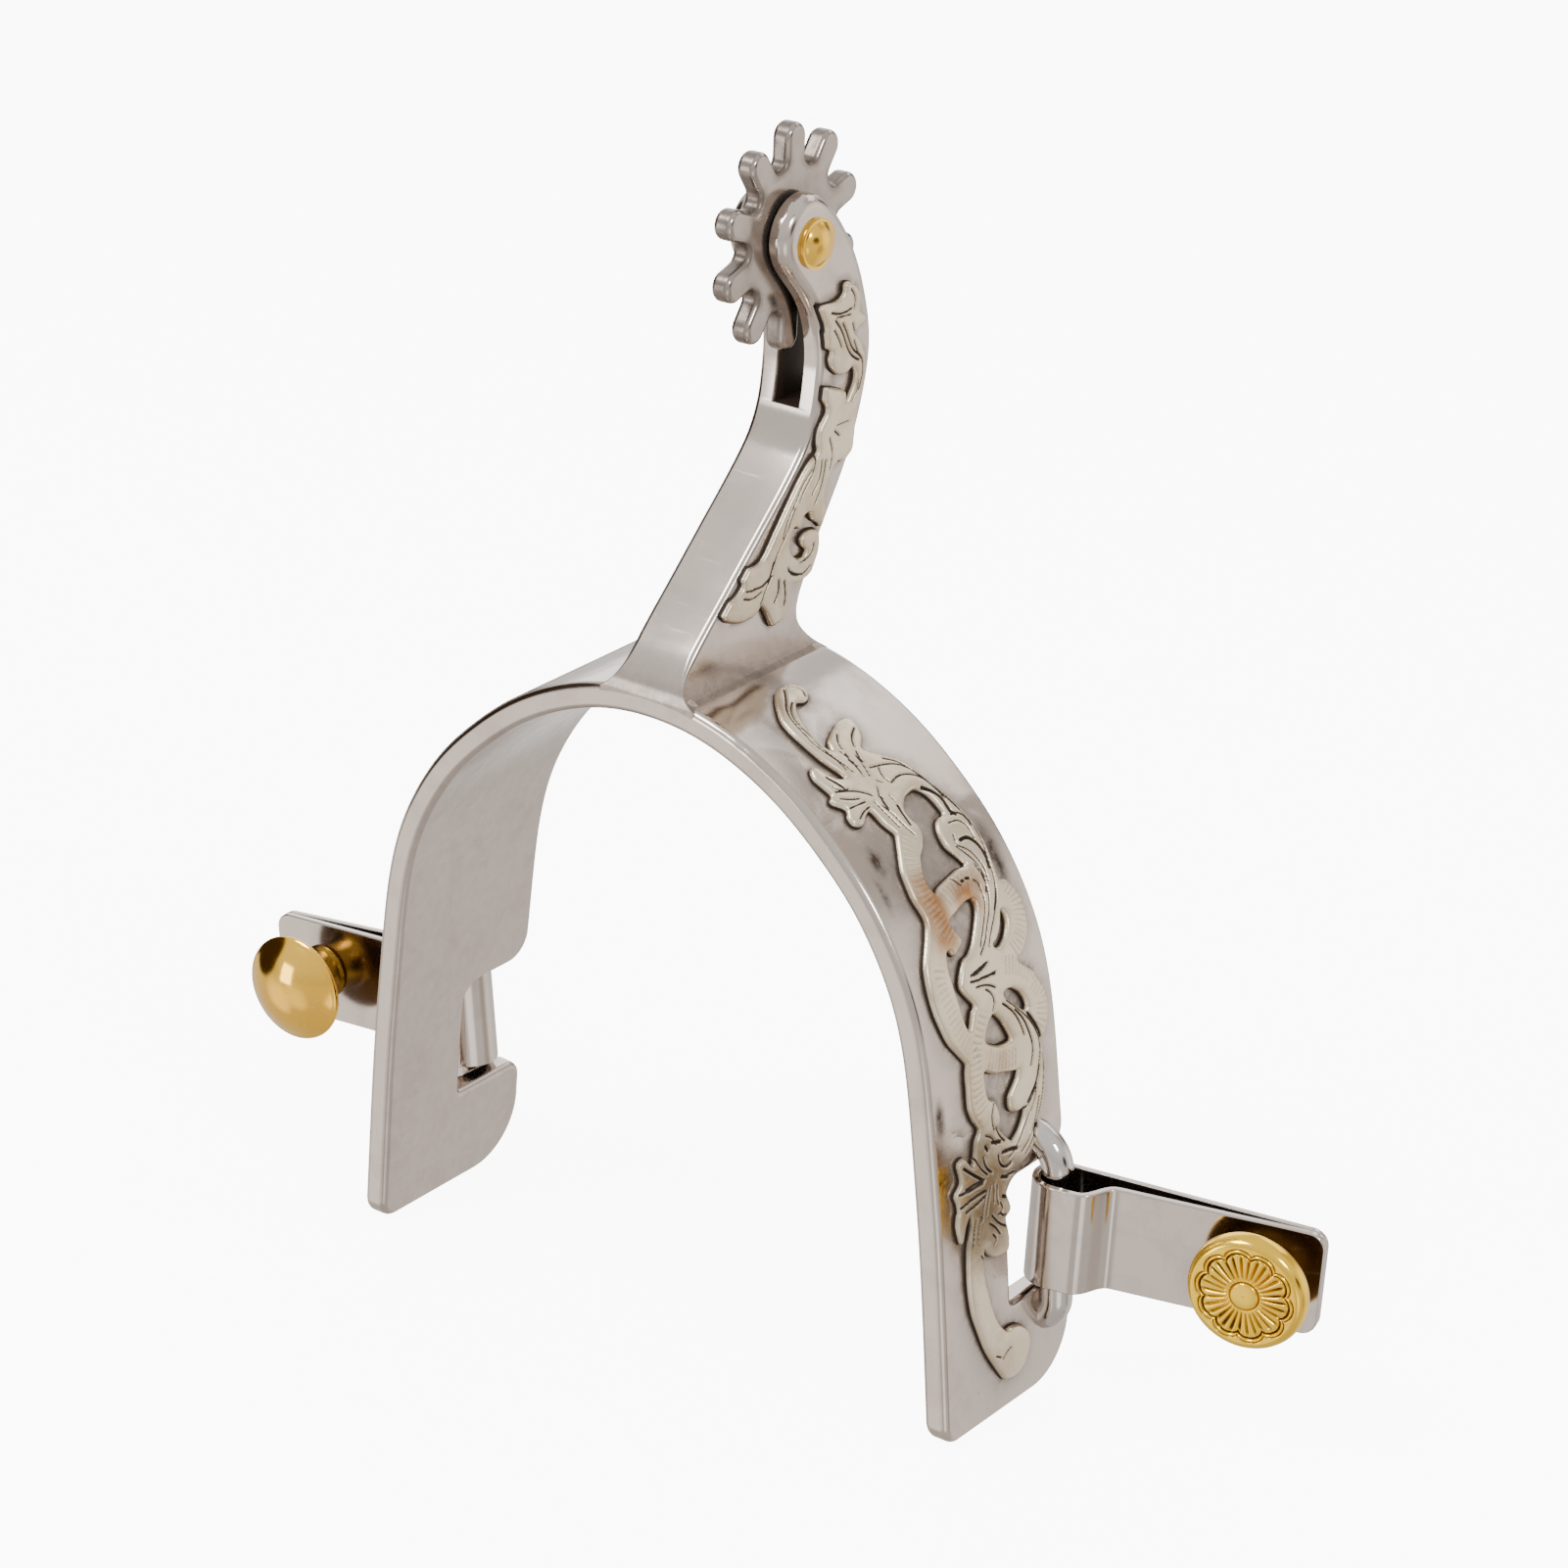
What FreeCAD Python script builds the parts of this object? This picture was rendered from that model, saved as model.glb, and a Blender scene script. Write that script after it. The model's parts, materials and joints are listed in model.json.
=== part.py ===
import FreeCAD, Part
import math
import os

os.makedirs("parts", exist_ok=True)
V = FreeCAD.Vector

# ---------------------------------------------------------------- dimensions (mm)
# Frame: X across the two legs (+X is the outer, decorated leg), Y along the band's
# width (the notches open towards +Y), Z up from the leg tips to the shank.
BAND_W = 25.4            # width of the heel band (Y)
BAND_T = 3.2             # thickness of the heel band
# inner half profile of the band in the XZ plane, leg tip to crown
BAND_IN = [(40.95, 0.0), (40.45, 7.0), (39.93, 14.0), (39.36, 21.0), (38.68, 28.0),
           (37.88, 35.0), (37.10, 41.5), (36.10, 47.6), (34.35, 53.6), (31.62, 59.1),
           (28.12, 64.0), (23.90, 68.25), (18.80, 72.35), (13.00, 75.60), (6.70, 77.75),
           (0.0, 78.45)]
TIP_R_FRONT = 2.6        # corner radii of the leg tips, seen from the side
TIP_R_BACK = 8.0
NOTCH_Y = 0.9            # front wall of the notch
NOTCH_Z0, NOTCH_Z1 = 13.0, 27.7
NOTCH_R_TOP = 2.6        # inner corner radius at the notch's upper end
JAW_R_LOW, JAW_R_UP = 2.2, 3.6
EDGE_OUT = 0.9           # rounding of the band's outer long edges
EDGE_IN = 0.45

SHANK_T = 8.6            # thickness of the shank (X)
SLOT_W = 3.5             # fork slot
SLOT_Z = 108.8           # bottom of the fork slot
FLARE_R = 4.0            # weld fillet between the shank's sides and the band
PIN_Y, PIN_Z = 11.8, 128.9
PIN_D = 3.2
PIN_HEAD_D, PIN_HEAD_H = 5.9, 1.5
ROWEL_R, ROWEL_T = 13.15, 2.5
ROWEL_N = 10
ROWEL_PHASE = 15.6       # degrees, first tooth from +Y
TOOTH_W = 3.6
GAP_ROOT = 8.6
ROWEL_HOLE_CLEAR = 0.13
ROWEL_SKEW = 2.5         # degrees, the loose rowel stands a little askew in the fork

WIRE_D = 3.8             # hinge staple wire
BAR_X, BAR_Y, BAR_Z = 44.5, 7.6, 20.4    # middle of each hinge bar (X mirrored)
BAR_TILT_OUT = -1.9      # degrees, the outer bar follows the leg's slope, its top inwards
BAR_TILT_IN = 0.0        # same, inner leg
HANGER_TILT_OUT = 3.0    # degrees, each loose hanger sags, its loop's top outwards
HANGER_TILT_IN = 5.0
BAR_HALF_UP, BAR_HALF_DOWN = 7.1, 9.1

STRIP_T = 0.85           # folded strip of the button hangers
STRIP_W = 13.2
LOOP_CLEAR = 0.68        # the folded loop is a loose fit on the wire
HANGER_L = 31.2          # bar centre to the hanger's end
JOGGLE_GAP = 1.7         # gap between the two leaves just past the loop
JOG_P0, JOG_P1 = 3.1, 6.5   # the front leaf's joggle starts and ends here
CLINCH_P = 29.6          # the leaves close up from the loop to here and lie together to the end
HANGER_OUT_SWING = 13.6  # degrees of rest swing from the X axis towards +Y
HANGER_IN_SWING = -3.6
HANGER_OUT_Z, HANGER_IN_Z = 20.6, 20.3   # height of the loop's middle

BUTTON_OUT_P, BUTTON_IN_P = 24.1, 23.8   # button axis, measured along the hanger
BUTTON_OUT_D, BUTTON_IN_D = 14.3, 13.8   # heads of the outer and inner button
NECK_D = 6.4
NECK_OUT_L, NECK_IN_L = 3.8, 5.6         # hanger's surface to the underside of the head
TAIL_D, TAIL_H = 5.0, 0.5
RIVET_D = 3.0

OVERLAY_T = 0.9

# Outlines of the band's scrollwork: (distance along the band's outer face from the
# crown towards the outer leg, Y), and of the shank's scrollwork: (Y, Z).
BAND_SCROLL = [(9.75, -1.54), (9.58, 0.61), (10.24, 1.35), (11.17, 1.78), (11.98, 1.65), (12.58, 0.86),
    (12.69, -0.14), (12.36, -0.74), (12.63, -1.44), (13.71, -2.42), (15.26, -3.28), (17.03, -3.83),
    (18.75, -3.90), (19.88, -3.43), (19.13, -3.07), (18.37, -2.38), (17.09, 0.62), (17.03, 2.29),
    (17.84, 2.96), (19.07, 2.67), (20.26, 1.89), (21.23, 0.69), (21.93, 1.19), (23.96, 3.80),
    (25.29, 4.81), (30.28, 7.01), (34.41, 8.18), (37.39, 8.24), (41.21, 7.70), (41.74, 8.66),
    (42.92, 9.51), (44.47, 9.96), (45.98, 9.90), (47.55, 9.45), (49.02, 8.53), (50.05, 7.23),
    (50.48, 6.21), (52.69, 8.77), (53.17, 8.79), (54.81, 9.81), (56.49, 10.26), (58.21, 10.05),
    (59.54, 9.49), (60.46, 8.73), (60.66, 8.14), (62.03, 8.51), (64.23, 8.69), (67.41, 8.14),
    (71.07, 6.69), (72.36, 5.92), (73.40, 4.54), (74.10, 2.98), (74.30, 1.99), (75.89, -0.10),
    (76.49, -0.16), (78.44, 0.48), (79.14, -0.03), (79.34, -0.58), (81.68, -0.11), (83.18, -0.22),
    (83.67, -0.71), (83.57, -1.94), (83.18, -3.32), (82.43, -4.32), (81.58, -4.95), (84.02, -5.05),
    (85.91, -4.82), (90.08, -3.54), (91.91, -2.58), (93.40, -1.23), (93.35, -0.34), (93.65, 1.08),
    (94.59, 2.47), (95.58, 3.14), (96.77, 3.27), (98.15, 2.67), (99.19, 1.91), (99.69, 0.45),
    (99.59, -0.97), (99.14, -2.02), (95.88, -4.36), (93.60, -5.66), (89.04, -7.52), (86.80, -7.98),
    (84.47, -8.21), (80.53, -8.00), (77.59, -7.13), (76.34, -7.19), (77.19, -8.07), (79.24, -9.11),
    (78.09, -9.59), (76.69, -9.81), (75.49, -9.55), (75.24, -9.32), (74.20, -9.42), (73.00, -9.77),
    (71.86, -8.55), (69.63, -8.92), (69.14, -8.25), (69.19, -7.57), (70.67, -6.19), (68.10, -5.29),
    (67.02, -4.50), (65.43, -5.49), (63.63, -6.10), (59.54, -6.04), (58.46, -5.86), (55.29, -8.36),
    (53.33, -9.24), (51.40, -9.80), (49.40, -9.99), (47.50, -9.81), (45.76, -9.25), (41.80, -6.48),
    (38.74, -6.75), (37.02, -6.55), (35.33, -6.11), (31.75, -3.74), (31.17, -3.78), (29.91, -4.37),
    (27.95, -4.80), (28.16, -5.83), (28.88, -7.00), (28.83, -7.86), (28.26, -8.51), (27.43, -8.44),
    (26.50, -7.88), (25.23, -9.14), (24.71, -9.03), (24.28, -8.33), (21.87, -8.83), (20.58, -8.19),
    (20.69, -7.34), (21.93, -6.76), (22.89, -6.02), (23.22, -4.69), (20.15, -5.70), (16.55, -6.01),
    (14.94, -5.85), (13.60, -5.41), (11.28, -3.52)]
SCROLL_H1 = [(28.16, 2.24), (28.16, 3.43), (28.93, 4.27), (30.12, 4.71), (32.06, 4.86), (32.27, 3.61),
    (32.96, 2.77), (34.14, 2.26), (35.50, 2.25), (38.15, 3.70), (38.15, 2.26), (38.90, -2.04),
    (39.33, -3.07), (37.88, -3.44), (36.69, -3.23), (35.17, -2.32), (34.25, -1.10), (33.23, -0.15),
    (32.17, 0.28), (30.96, -0.19), (30.07, -0.31), (29.24, 0.13), (28.52, 1.02)]
SCROLL_H2 = [(42.60, -2.47), (41.80, 0.95), (41.85, 2.15), (42.54, 2.29), (43.83, 1.64), (46.30, -0.48),
    (47.12, -1.73), (47.44, -2.92), (49.89, -4.63), (52.63, -2.92), (53.22, -3.51), (54.97, -4.53),
    (53.86, -5.13), (49.94, -5.71), (47.71, -5.77), (46.36, -5.45), (45.66, -5.09), (45.66, -4.59),
    (46.41, -4.01), (45.49, -2.06), (44.63, -2.13), (43.13, -2.81)]
SCROLL_H4 = [(54.71, -0.02), (55.39, -1.02), (57.01, -2.01), (57.84, -1.14), (58.57, 0.39), (58.77, 1.82),
    (58.57, 2.68), (56.39, 1.65), (55.23, 0.76)]
SCROLL_H5 = [(60.56, -2.82), (61.37, -1.28), (62.58, 2.95), (62.63, 3.58), (63.63, 3.12), (65.13, 1.61),
    (66.32, 1.39), (67.16, 1.81), (67.56, 3.03), (67.51, 4.31), (68.69, 3.97), (69.88, 3.00),
    (70.62, 1.87), (70.67, 1.43), (68.00, -1.00), (67.16, -0.49), (65.73, -0.76), (64.53, -1.46),
    (63.93, -2.42), (62.33, -2.85)]
SCROLL_H6 = [(53.17, 2.50), (52.95, 3.20), (53.11, 4.18), (53.96, 5.39), (55.13, 6.13), (56.07, 6.33),
    (56.39, 5.83), (54.02, 3.08)]
SCROLL_H7 = [(44.47, 5.99), (44.96, 6.31), (46.14, 6.14), (47.33, 5.18), (48.04, 3.98), (47.93, 3.10),
    (47.50, 2.78), (47.23, 3.55), (46.36, 4.64), (45.39, 5.35)]
SHANK_SCROLL = [(16.57, 123.02), (17.25, 123.19), (18.42, 122.63), (19.29, 121.75), (19.65, 120.64),
    (19.47, 119.38), (20.43, 118.55), (20.55, 117.80), (18.62, 116.99), (19.60, 115.86), (20.50, 114.02),
    (20.76, 112.19), (20.49, 110.50), (19.34, 107.58), (18.65, 103.04), (17.75, 102.26), (16.83, 101.78),
    (16.11, 102.28), (14.97, 101.72), (13.85, 100.26), (13.43, 98.90), (13.72, 97.03), (13.30, 95.67),
    (12.86, 95.06), (12.37, 95.71), (11.19, 96.44), (10.70, 97.48), (9.78, 97.45), (9.20, 96.89),
    (8.91, 95.94), (7.97, 96.51), (7.08, 95.74), (6.97, 94.59), (7.46, 93.40), (8.54, 92.54),
    (9.69, 92.43), (10.14, 93.04), (9.28, 93.89), (9.08, 94.70), (9.85, 95.21), (11.00, 95.31),
    (12.40, 94.81), (12.59, 93.20), (12.26, 91.80), (11.60, 90.50), (10.46, 89.80), (8.85, 89.61),
    (7.46, 89.92), (6.55, 89.81), (6.81, 88.69), (6.85, 87.18), (6.19, 86.04), (4.91, 85.69),
    (3.81, 85.74), (2.72, 87.72), (1.70, 88.85), (1.48, 88.50), (0.22, 87.91), (-2.03, 87.88),
    (-4.50, 88.81), (-5.19, 89.91), (-4.31, 90.67), (-2.54, 91.29), (-1.44, 92.13), (-1.91, 93.60),
    (-1.25, 93.99), (1.00, 93.89), (2.34, 94.51), (4.98, 97.55), (7.86, 100.82), (9.41, 102.43),
    (10.75, 103.51), (12.11, 104.30), (11.98, 105.51), (12.26, 106.90), (13.72, 108.69), (13.08, 110.18),
    (12.81, 111.42), (13.26, 111.74), (17.00, 110.33), (17.14, 108.92), (17.95, 109.72), (18.75, 110.97),
    (18.80, 112.13), (18.31, 112.91), (17.39, 112.51), (16.47, 112.41), (15.30, 112.78), (14.34, 113.77),
    (13.99, 114.88), (14.28, 115.67), (12.18, 117.10), (12.70, 117.83), (13.28, 118.25), (13.12, 119.16),
    (12.05, 121.16), (12.27, 121.54), (14.78, 121.37), (15.92, 121.60), (16.50, 122.17)]


# ---------------------------------------------------------------- helpers
def spline_through(pts, tan0=None, tan1=None):
    c = Part.BSplineCurve()
    if tan0 is not None:
        c.interpolate(Points=pts, InitialTangent=tan0, FinalTangent=tan1)
    else:
        c.interpolate(Points=pts)
    return c


def solid_of(shape):
    s = shape.Solids
    if not s:
        raise RuntimeError("no solid")
    return max(s, key=lambda k: k.Volume)


def frame_at(origin, xdir, zdir):
    """Placement whose local X is xdir and local Z is zdir."""
    z = V(zdir).normalize()
    x = V(xdir)
    x = (x - z * x.dot(z)).normalize()
    y = z.cross(x)
    m = FreeCAD.Matrix(x.x, y.x, z.x, origin.x,
                       x.y, y.y, z.y, origin.y,
                       x.z, y.z, z.z, origin.z,
                       0, 0, 0, 1)
    return FreeCAD.Placement(m)


def save(name, shape):
    shape.exportStep("parts/%s.step" % name)
    print("%-24s solids %d  valid %s  volume %.1f  box %s" % (
        name, len(shape.Solids), shape.isValid(), shape.Volume,
        [round(v, 2) for v in (shape.BoundBox.XMin, shape.BoundBox.XMax, shape.BoundBox.YMin,
                               shape.BoundBox.YMax, shape.BoundBox.ZMin, shape.BoundBox.ZMax)]))


# ---------------------------------------------------------------- heel band
half = [V(x, 0, z) for x, z in BAND_IN]
inner_pts = half + [V(-p.x, 0, p.z) for p in reversed(half[:-1])]
inner_curve = spline_through(inner_pts)


def offset_points(curve, dist, n):
    out = []
    for i in range(n + 1):
        u = curve.FirstParameter + (curve.LastParameter - curve.FirstParameter) * i / n
        p = curve.value(u)
        t = curve.tangent(u)[0]
        nrm = V(t.z, 0, -t.x)          # outward normal for a curve that runs +X leg to -X leg
        if nrm.dot(V(p.x, 0, p.z - 35)) < 0:
            nrm = nrm * -1
        out.append(p + nrm * dist)
    return out


def closed_band(d0, d1, y0, y1, extra=0.0):
    """Solid between two offsets of the inner curve, cut flat at the leg tips."""
    a = offset_points(inner_curve, d0, 44) if d0 else None
    ca = spline_through(a) if a else inner_curve
    b = offset_points(inner_curve, d1, 44)
    # run both ends a little below Z=0, then trim
    def extend(c):
        p0, p1 = c.value(c.FirstParameter), c.value(c.LastParameter)
        t0, t1 = c.tangent(c.FirstParameter)[0], c.tangent(c.LastParameter)[0]
        return (Part.LineSegment(p0 - t0 * 3, p0).toShape(), c.toShape(),
                Part.LineSegment(p1, p1 + t1 * 3).toShape())
    cb = spline_through(b)
    ea, eb = extend(ca), extend(cb)
    l0 = Part.LineSegment(ea[0].firstVertex().Point, eb[0].firstVertex().Point).toShape()
    l1 = Part.LineSegment(ea[2].lastVertex().Point, eb[2].lastVertex().Point).toShape()
    w = Part.Wire(Part.__sortEdges__(list(ea) + [l1] + list(eb) + [l0]))
    f = Part.Face(w)
    f.translate(V(0, y0, 0))
    s = f.extrude(V(0, y1 - y0, 0))
    return s


def arc_corner(p_prev, p, p_next, r):
    """Tangent points and mid point of a rounded corner."""
    a = (p_prev - p).normalize()
    b = (p_next - p).normalize()
    ang = math.acos(max(-1, min(1, a.dot(b))))
    d = r / math.tan(ang / 2)
    c = p + (a + b).normalize() * (r / math.sin(ang / 2))
    mid = c + (p - c).normalize() * r
    return p + a * d, mid, p + b * d


def rounded_polygon(pts):
    """pts: list of (V, radius). Closed wire with rounded corners."""
    n = len(pts)
    edges, prev_end, first = [], None, None
    for i in range(n):
        p, r = pts[i]
        if r > 0:
            s, m, e = arc_corner(pts[i - 1][0], p, pts[(i + 1) % n][0], r)
        else:
            s = m = e = p
        if prev_end is not None and prev_end.distanceToPoint(s) > 1e-6:
            edges.append(Part.LineSegment(prev_end, s).toShape())
        if r > 0:
            edges.append(Part.Arc(s, m, e).toShape())
        if first is None:
            first = s
        prev_end = e
    if prev_end.distanceToPoint(first) > 1e-6:
        edges.append(Part.LineSegment(prev_end, first).toShape())
    return Part.Wire(edges)


hw = BAND_W / 2
side = rounded_polygon([
    (V(0, -hw, 0), TIP_R_FRONT), (V(0, hw, 0), TIP_R_BACK),
    (V(0, hw, NOTCH_Z0), JAW_R_LOW), (V(0, NOTCH_Y, NOTCH_Z0), 0.5),
    (V(0, NOTCH_Y, NOTCH_Z1), NOTCH_R_TOP), (V(0, hw, NOTCH_Z1), JAW_R_UP),
    (V(0, hw, 95), 0), (V(0, -hw, 95), 0)])
side_block = Part.Face(side)
side_block.translate(V(-60, 0, 0))
side_block = side_block.extrude(V(120, 0, 0))
band_raw = closed_band(0, BAND_T, -hw, hw)
heel_band = solid_of(band_raw.common(side_block))


def long_edges(shape, outer):
    """Edges of the arch that run along Y = +-hw on the outer or inner surface."""
    out = []
    for e in shape.Edges:
        bb = e.BoundBox
        if abs(abs(bb.YMin) - hw) > 1e-4 or bb.YMax - bb.YMin > 1e-4:
            continue
        if bb.ZMax < 60:
            continue
        zc = bb.ZMax
        is_outer = zc > BAND_IN[-1][1] + BAND_T * 0.5
        if is_outer == outer and bb.XMax - bb.XMin > 30:
            out.append(e)
    return out


for outer, r in ((True, EDGE_OUT), (False, EDGE_IN)):
    es = long_edges(heel_band, outer)
    try:
        f = heel_band.makeFillet(r, es)
        if f.isValid() and f.Solids:
            heel_band = solid_of(f)
            print("edge rounding", outer, len(es))
    except Exception as ex:
        print("edge rounding skipped", outer, ex)

# ---------------------------------------------------------------- shank
front = [(-12.7, 80.9), (-12.35, 82.2), (-11.55, 83.5), (-10.47, 84.9), (-9.43, 86.1), (-8.3, 87.25),
         (-4.4, 90.85), (-0.5, 94.45), (3.4, 98.05), (6.9, 101.3), (8.7, 103.1), (10.2, 104.8), (11.4, 106.7),
         (12.3, 109.0), (12.85, 111.8), (13.1, 115.0), (12.5, 118.8), (11.1, 121.9),
         (8.95, 124.6), (7.05, 127.0), (6.25, 129.4), (6.9, 132.0), (8.7, 133.8), (11.1, 134.5),
         (13.7, 133.8), (15.9, 131.95), (18.7, 128.4), (21.1, 123.9), (22.5, 119.0), (22.8, 114.2),
         (22.0, 109.6), (20.6, 105.4), (18.6, 101.1), (15.9, 96.9), (13.2, 92.7), (11.0, 88.8), (9.95, 86.3),
         (9.95, 84.3), (10.9, 82.6), (12.7, 81.2)]
pf = [V(0, y, z) for y, z in front]
sc = spline_through(pf)
base = [V(0, 12.7, 81.2), V(0, 12.7, 74.0), V(0, -12.7, 74.0), V(0, -12.7, 80.9)]
w = Part.Wire([sc.toShape()] + [Part.LineSegment(base[i], base[i + 1]).toShape() for i in range(3)])
prof = Part.Face(w)
prof.translate(V(-20, 0, 0))
prof = prof.extrude(V(40, 0, 0))
# front view: straight sides that flare into the band with a weld fillet
ht = SHANK_T / 2


def crown_z(x):
    """height of the band's outer surface at X"""
    pts = offset_points(inner_curve, BAND_T, 400)
    best = min(pts, key=lambda p: abs(p.x - x) if p.z > 60 else 1e9)
    return best.z


xz = []
zf = crown_z(ht + FLARE_R) - 0.02
cx, cz = ht + FLARE_R, zf + FLARE_R
arc_pts = [(cx - FLARE_R * math.cos(a), cz - FLARE_R * math.sin(a)) for a in
           [math.radians(v) for v in (0, 20, 40, 60, 75, 84)]]
right_flare = spline_through([V(x, 0, z) for x, z in arc_pts], V(0, 0, -1), V(math.cos(math.radians(8)), 0, -math.sin(math.radians(8))))
end = arc_pts[-1]
left_flare = spline_through([V(-x, 0, z) for x, z in arc_pts], V(0, 0, -1), V(-math.cos(math.radians(8)), 0, -math.sin(math.radians(8))))
e1 = right_flare.toShape()
e2 = left_flare.toShape()
p_top_r, p_top_l = V(ht, 0, 140), V(-ht, 0, 140)
pr0, pl0 = V(ht, 0, cz), V(-ht, 0, cz)
per, pel = V(end[0], 0, end[1]), V(-end[0], 0, end[1])
wz = Part.Wire(Part.__sortEdges__([
    e1, e2, Part.LineSegment(p_top_r, pr0).toShape(), Part.LineSegment(p_top_l, pl0).toShape(),
    Part.LineSegment(p_top_l, p_top_r).toShape(),
    Part.LineSegment(per, V(end[0], 0, 74)).toShape(), Part.LineSegment(pel, V(-end[0], 0, 74)).toShape(),
    Part.LineSegment(V(-end[0], 0, 74), V(end[0], 0, 74)).toShape()]))
fz = Part.Face(wz)
fz.translate(V(0, -20, 0))
fz = fz.extrude(V(0, 50, 0))
shank = solid_of(prof.common(fz))
slot = Part.makeBox(SLOT_W, 40, 40, V(-SLOT_W / 2, -5, SLOT_Z))
shank = solid_of(shank.cut(slot))
# the fork's ears are bored for the rivet
bore = Part.makeCylinder(PIN_D / 2, 20, V(-10, PIN_Y, PIN_Z), V(1, 0, 0))
shank = solid_of(shank.cut(bore))


# the shank's foot is cut to the band, so that the two meet face to face
crown = [p for p in offset_points(inner_curve, BAND_T, 44)]
crown_curve = spline_through(crown)
cw = Part.Wire([crown_curve.toShape(), Part.LineSegment(crown[-1], crown[0]).toShape()])
under = Part.Face(cw)
under.translate(V(0, -hw - 3, 0))
under = under.extrude(V(0, BAND_W + 6, 0))
shank = solid_of(shank.cut(under))

# ---------------------------------------------------------------- rowel and its rivet
def rowel_outline():
    r = (GAP_ROOT * math.sin(math.pi / ROWEL_N) - TOOTH_W / 2) / (1 - math.sin(math.pi / ROWEL_N))
    c = GAP_ROOT + r
    edges = []
    prev = None
    first = None
    for k in range(ROWEL_N):
        a = math.radians(ROWEL_PHASE) + 2 * math.pi * k / ROWEL_N
        e = V(0, math.cos(a), math.sin(a))
        n = V(0, -math.sin(a), math.cos(a))
        b = a + math.pi / ROWEL_N
        f = V(0, math.cos(b), math.sin(b))
        m = V(0, -math.sin(b), math.cos(b))
        hwid = TOOTH_W / 2
        tr = hwid * 0.99
        t0 = e * (ROWEL_R - tr) - n * hwid
        t1 = e * (ROWEL_R - tr) + n * hwid
        tip = e * ROWEL_R
        # tangent points on the gap's root circle
        along = c * math.cos(math.pi / ROWEL_N)
        g0 = e * along + n * hwid
        a2 = a + 2 * math.pi / ROWEL_N
        e2 = V(0, math.cos(a2), math.sin(a2))
        n2 = V(0, -math.sin(a2), math.cos(a2))
        g1 = e2 * along - n2 * hwid
        root = f * GAP_ROOT
        if prev is not None:
            edges.append(Part.LineSegment(prev, t0).toShape())
        else:
            first = t0
        edges.append(Part.Arc(t0, tip, t1).toShape())
        edges.append(Part.LineSegment(t1, g0).toShape())
        edges.append(Part.Arc(g0, root, g1).toShape())
        prev = g1
    edges.append(Part.LineSegment(prev, first).toShape())
    return Part.Wire(edges)


fr = Part.Face(rowel_outline())
fr.translate(V(-ROWEL_T / 2, 0, 0))
rowel = fr.extrude(V(ROWEL_T, 0, 0))
rowel.translate(V(0, PIN_Y, PIN_Z))
rowel = rowel.cut(Part.makeCylinder(PIN_D / 2 + ROWEL_HOLE_CLEAR, 10, V(-5, PIN_Y, PIN_Z), V(1, 0, 0)))
rowel.rotate(V(0, PIN_Y, PIN_Z), V(0, 0, 1), ROWEL_SKEW)
rowel = solid_of(rowel)


def dome_head(rad, height, skirt):
    """Domed rivet head on the local XY plane, +Z outwards."""
    h = height - skirt
    big = (rad * rad + h * h) / (2 * h)
    pts = [V(0, 0, 0), V(rad, 0, 0), V(rad, 0, skirt)]
    arc_mid_a = math.asin(rad / big) / 2
    mid = V(big * math.sin(arc_mid_a), 0, skirt + big * math.cos(arc_mid_a) - (big - h))
    w = Part.Wire([Part.LineSegment(pts[0], pts[1]).toShape(), Part.LineSegment(pts[1], pts[2]).toShape(),
                   Part.Arc(pts[2], mid, V(0, 0, height)).toShape(), Part.LineSegment(V(0, 0, height), pts[0]).toShape()])
    return Part.Face(w).revolve(V(0, 0, 0), V(0, 0, 1), 360)


head = dome_head(PIN_HEAD_D / 2, PIN_HEAD_H, 0.3)
h1 = head.copy()
h1.Placement = frame_at(V(ht, PIN_Y, PIN_Z), V(0, 1, 0), V(1, 0, 0))
h2 = head.copy()
h2.Placement = frame_at(V(-ht, PIN_Y, PIN_Z), V(0, 1, 0), V(-1, 0, 0))
rowel_pin = Part.makeCylinder(PIN_D / 2, SHANK_T, V(-ht, PIN_Y, PIN_Z), V(1, 0, 0)).fuse([h1, h2]).removeSplitter()
rowel_pin = solid_of(rowel_pin)

# ---------------------------------------------------------------- hinge staples
def leg_face_x(z):
    """X of the outer leg's outer face at height z"""
    pts = offset_points(inner_curve, BAND_T, 600)
    return min((p for p in pts if p.x > 0 and p.z < 60), key=lambda p: abs(p.z - z)).x


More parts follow.
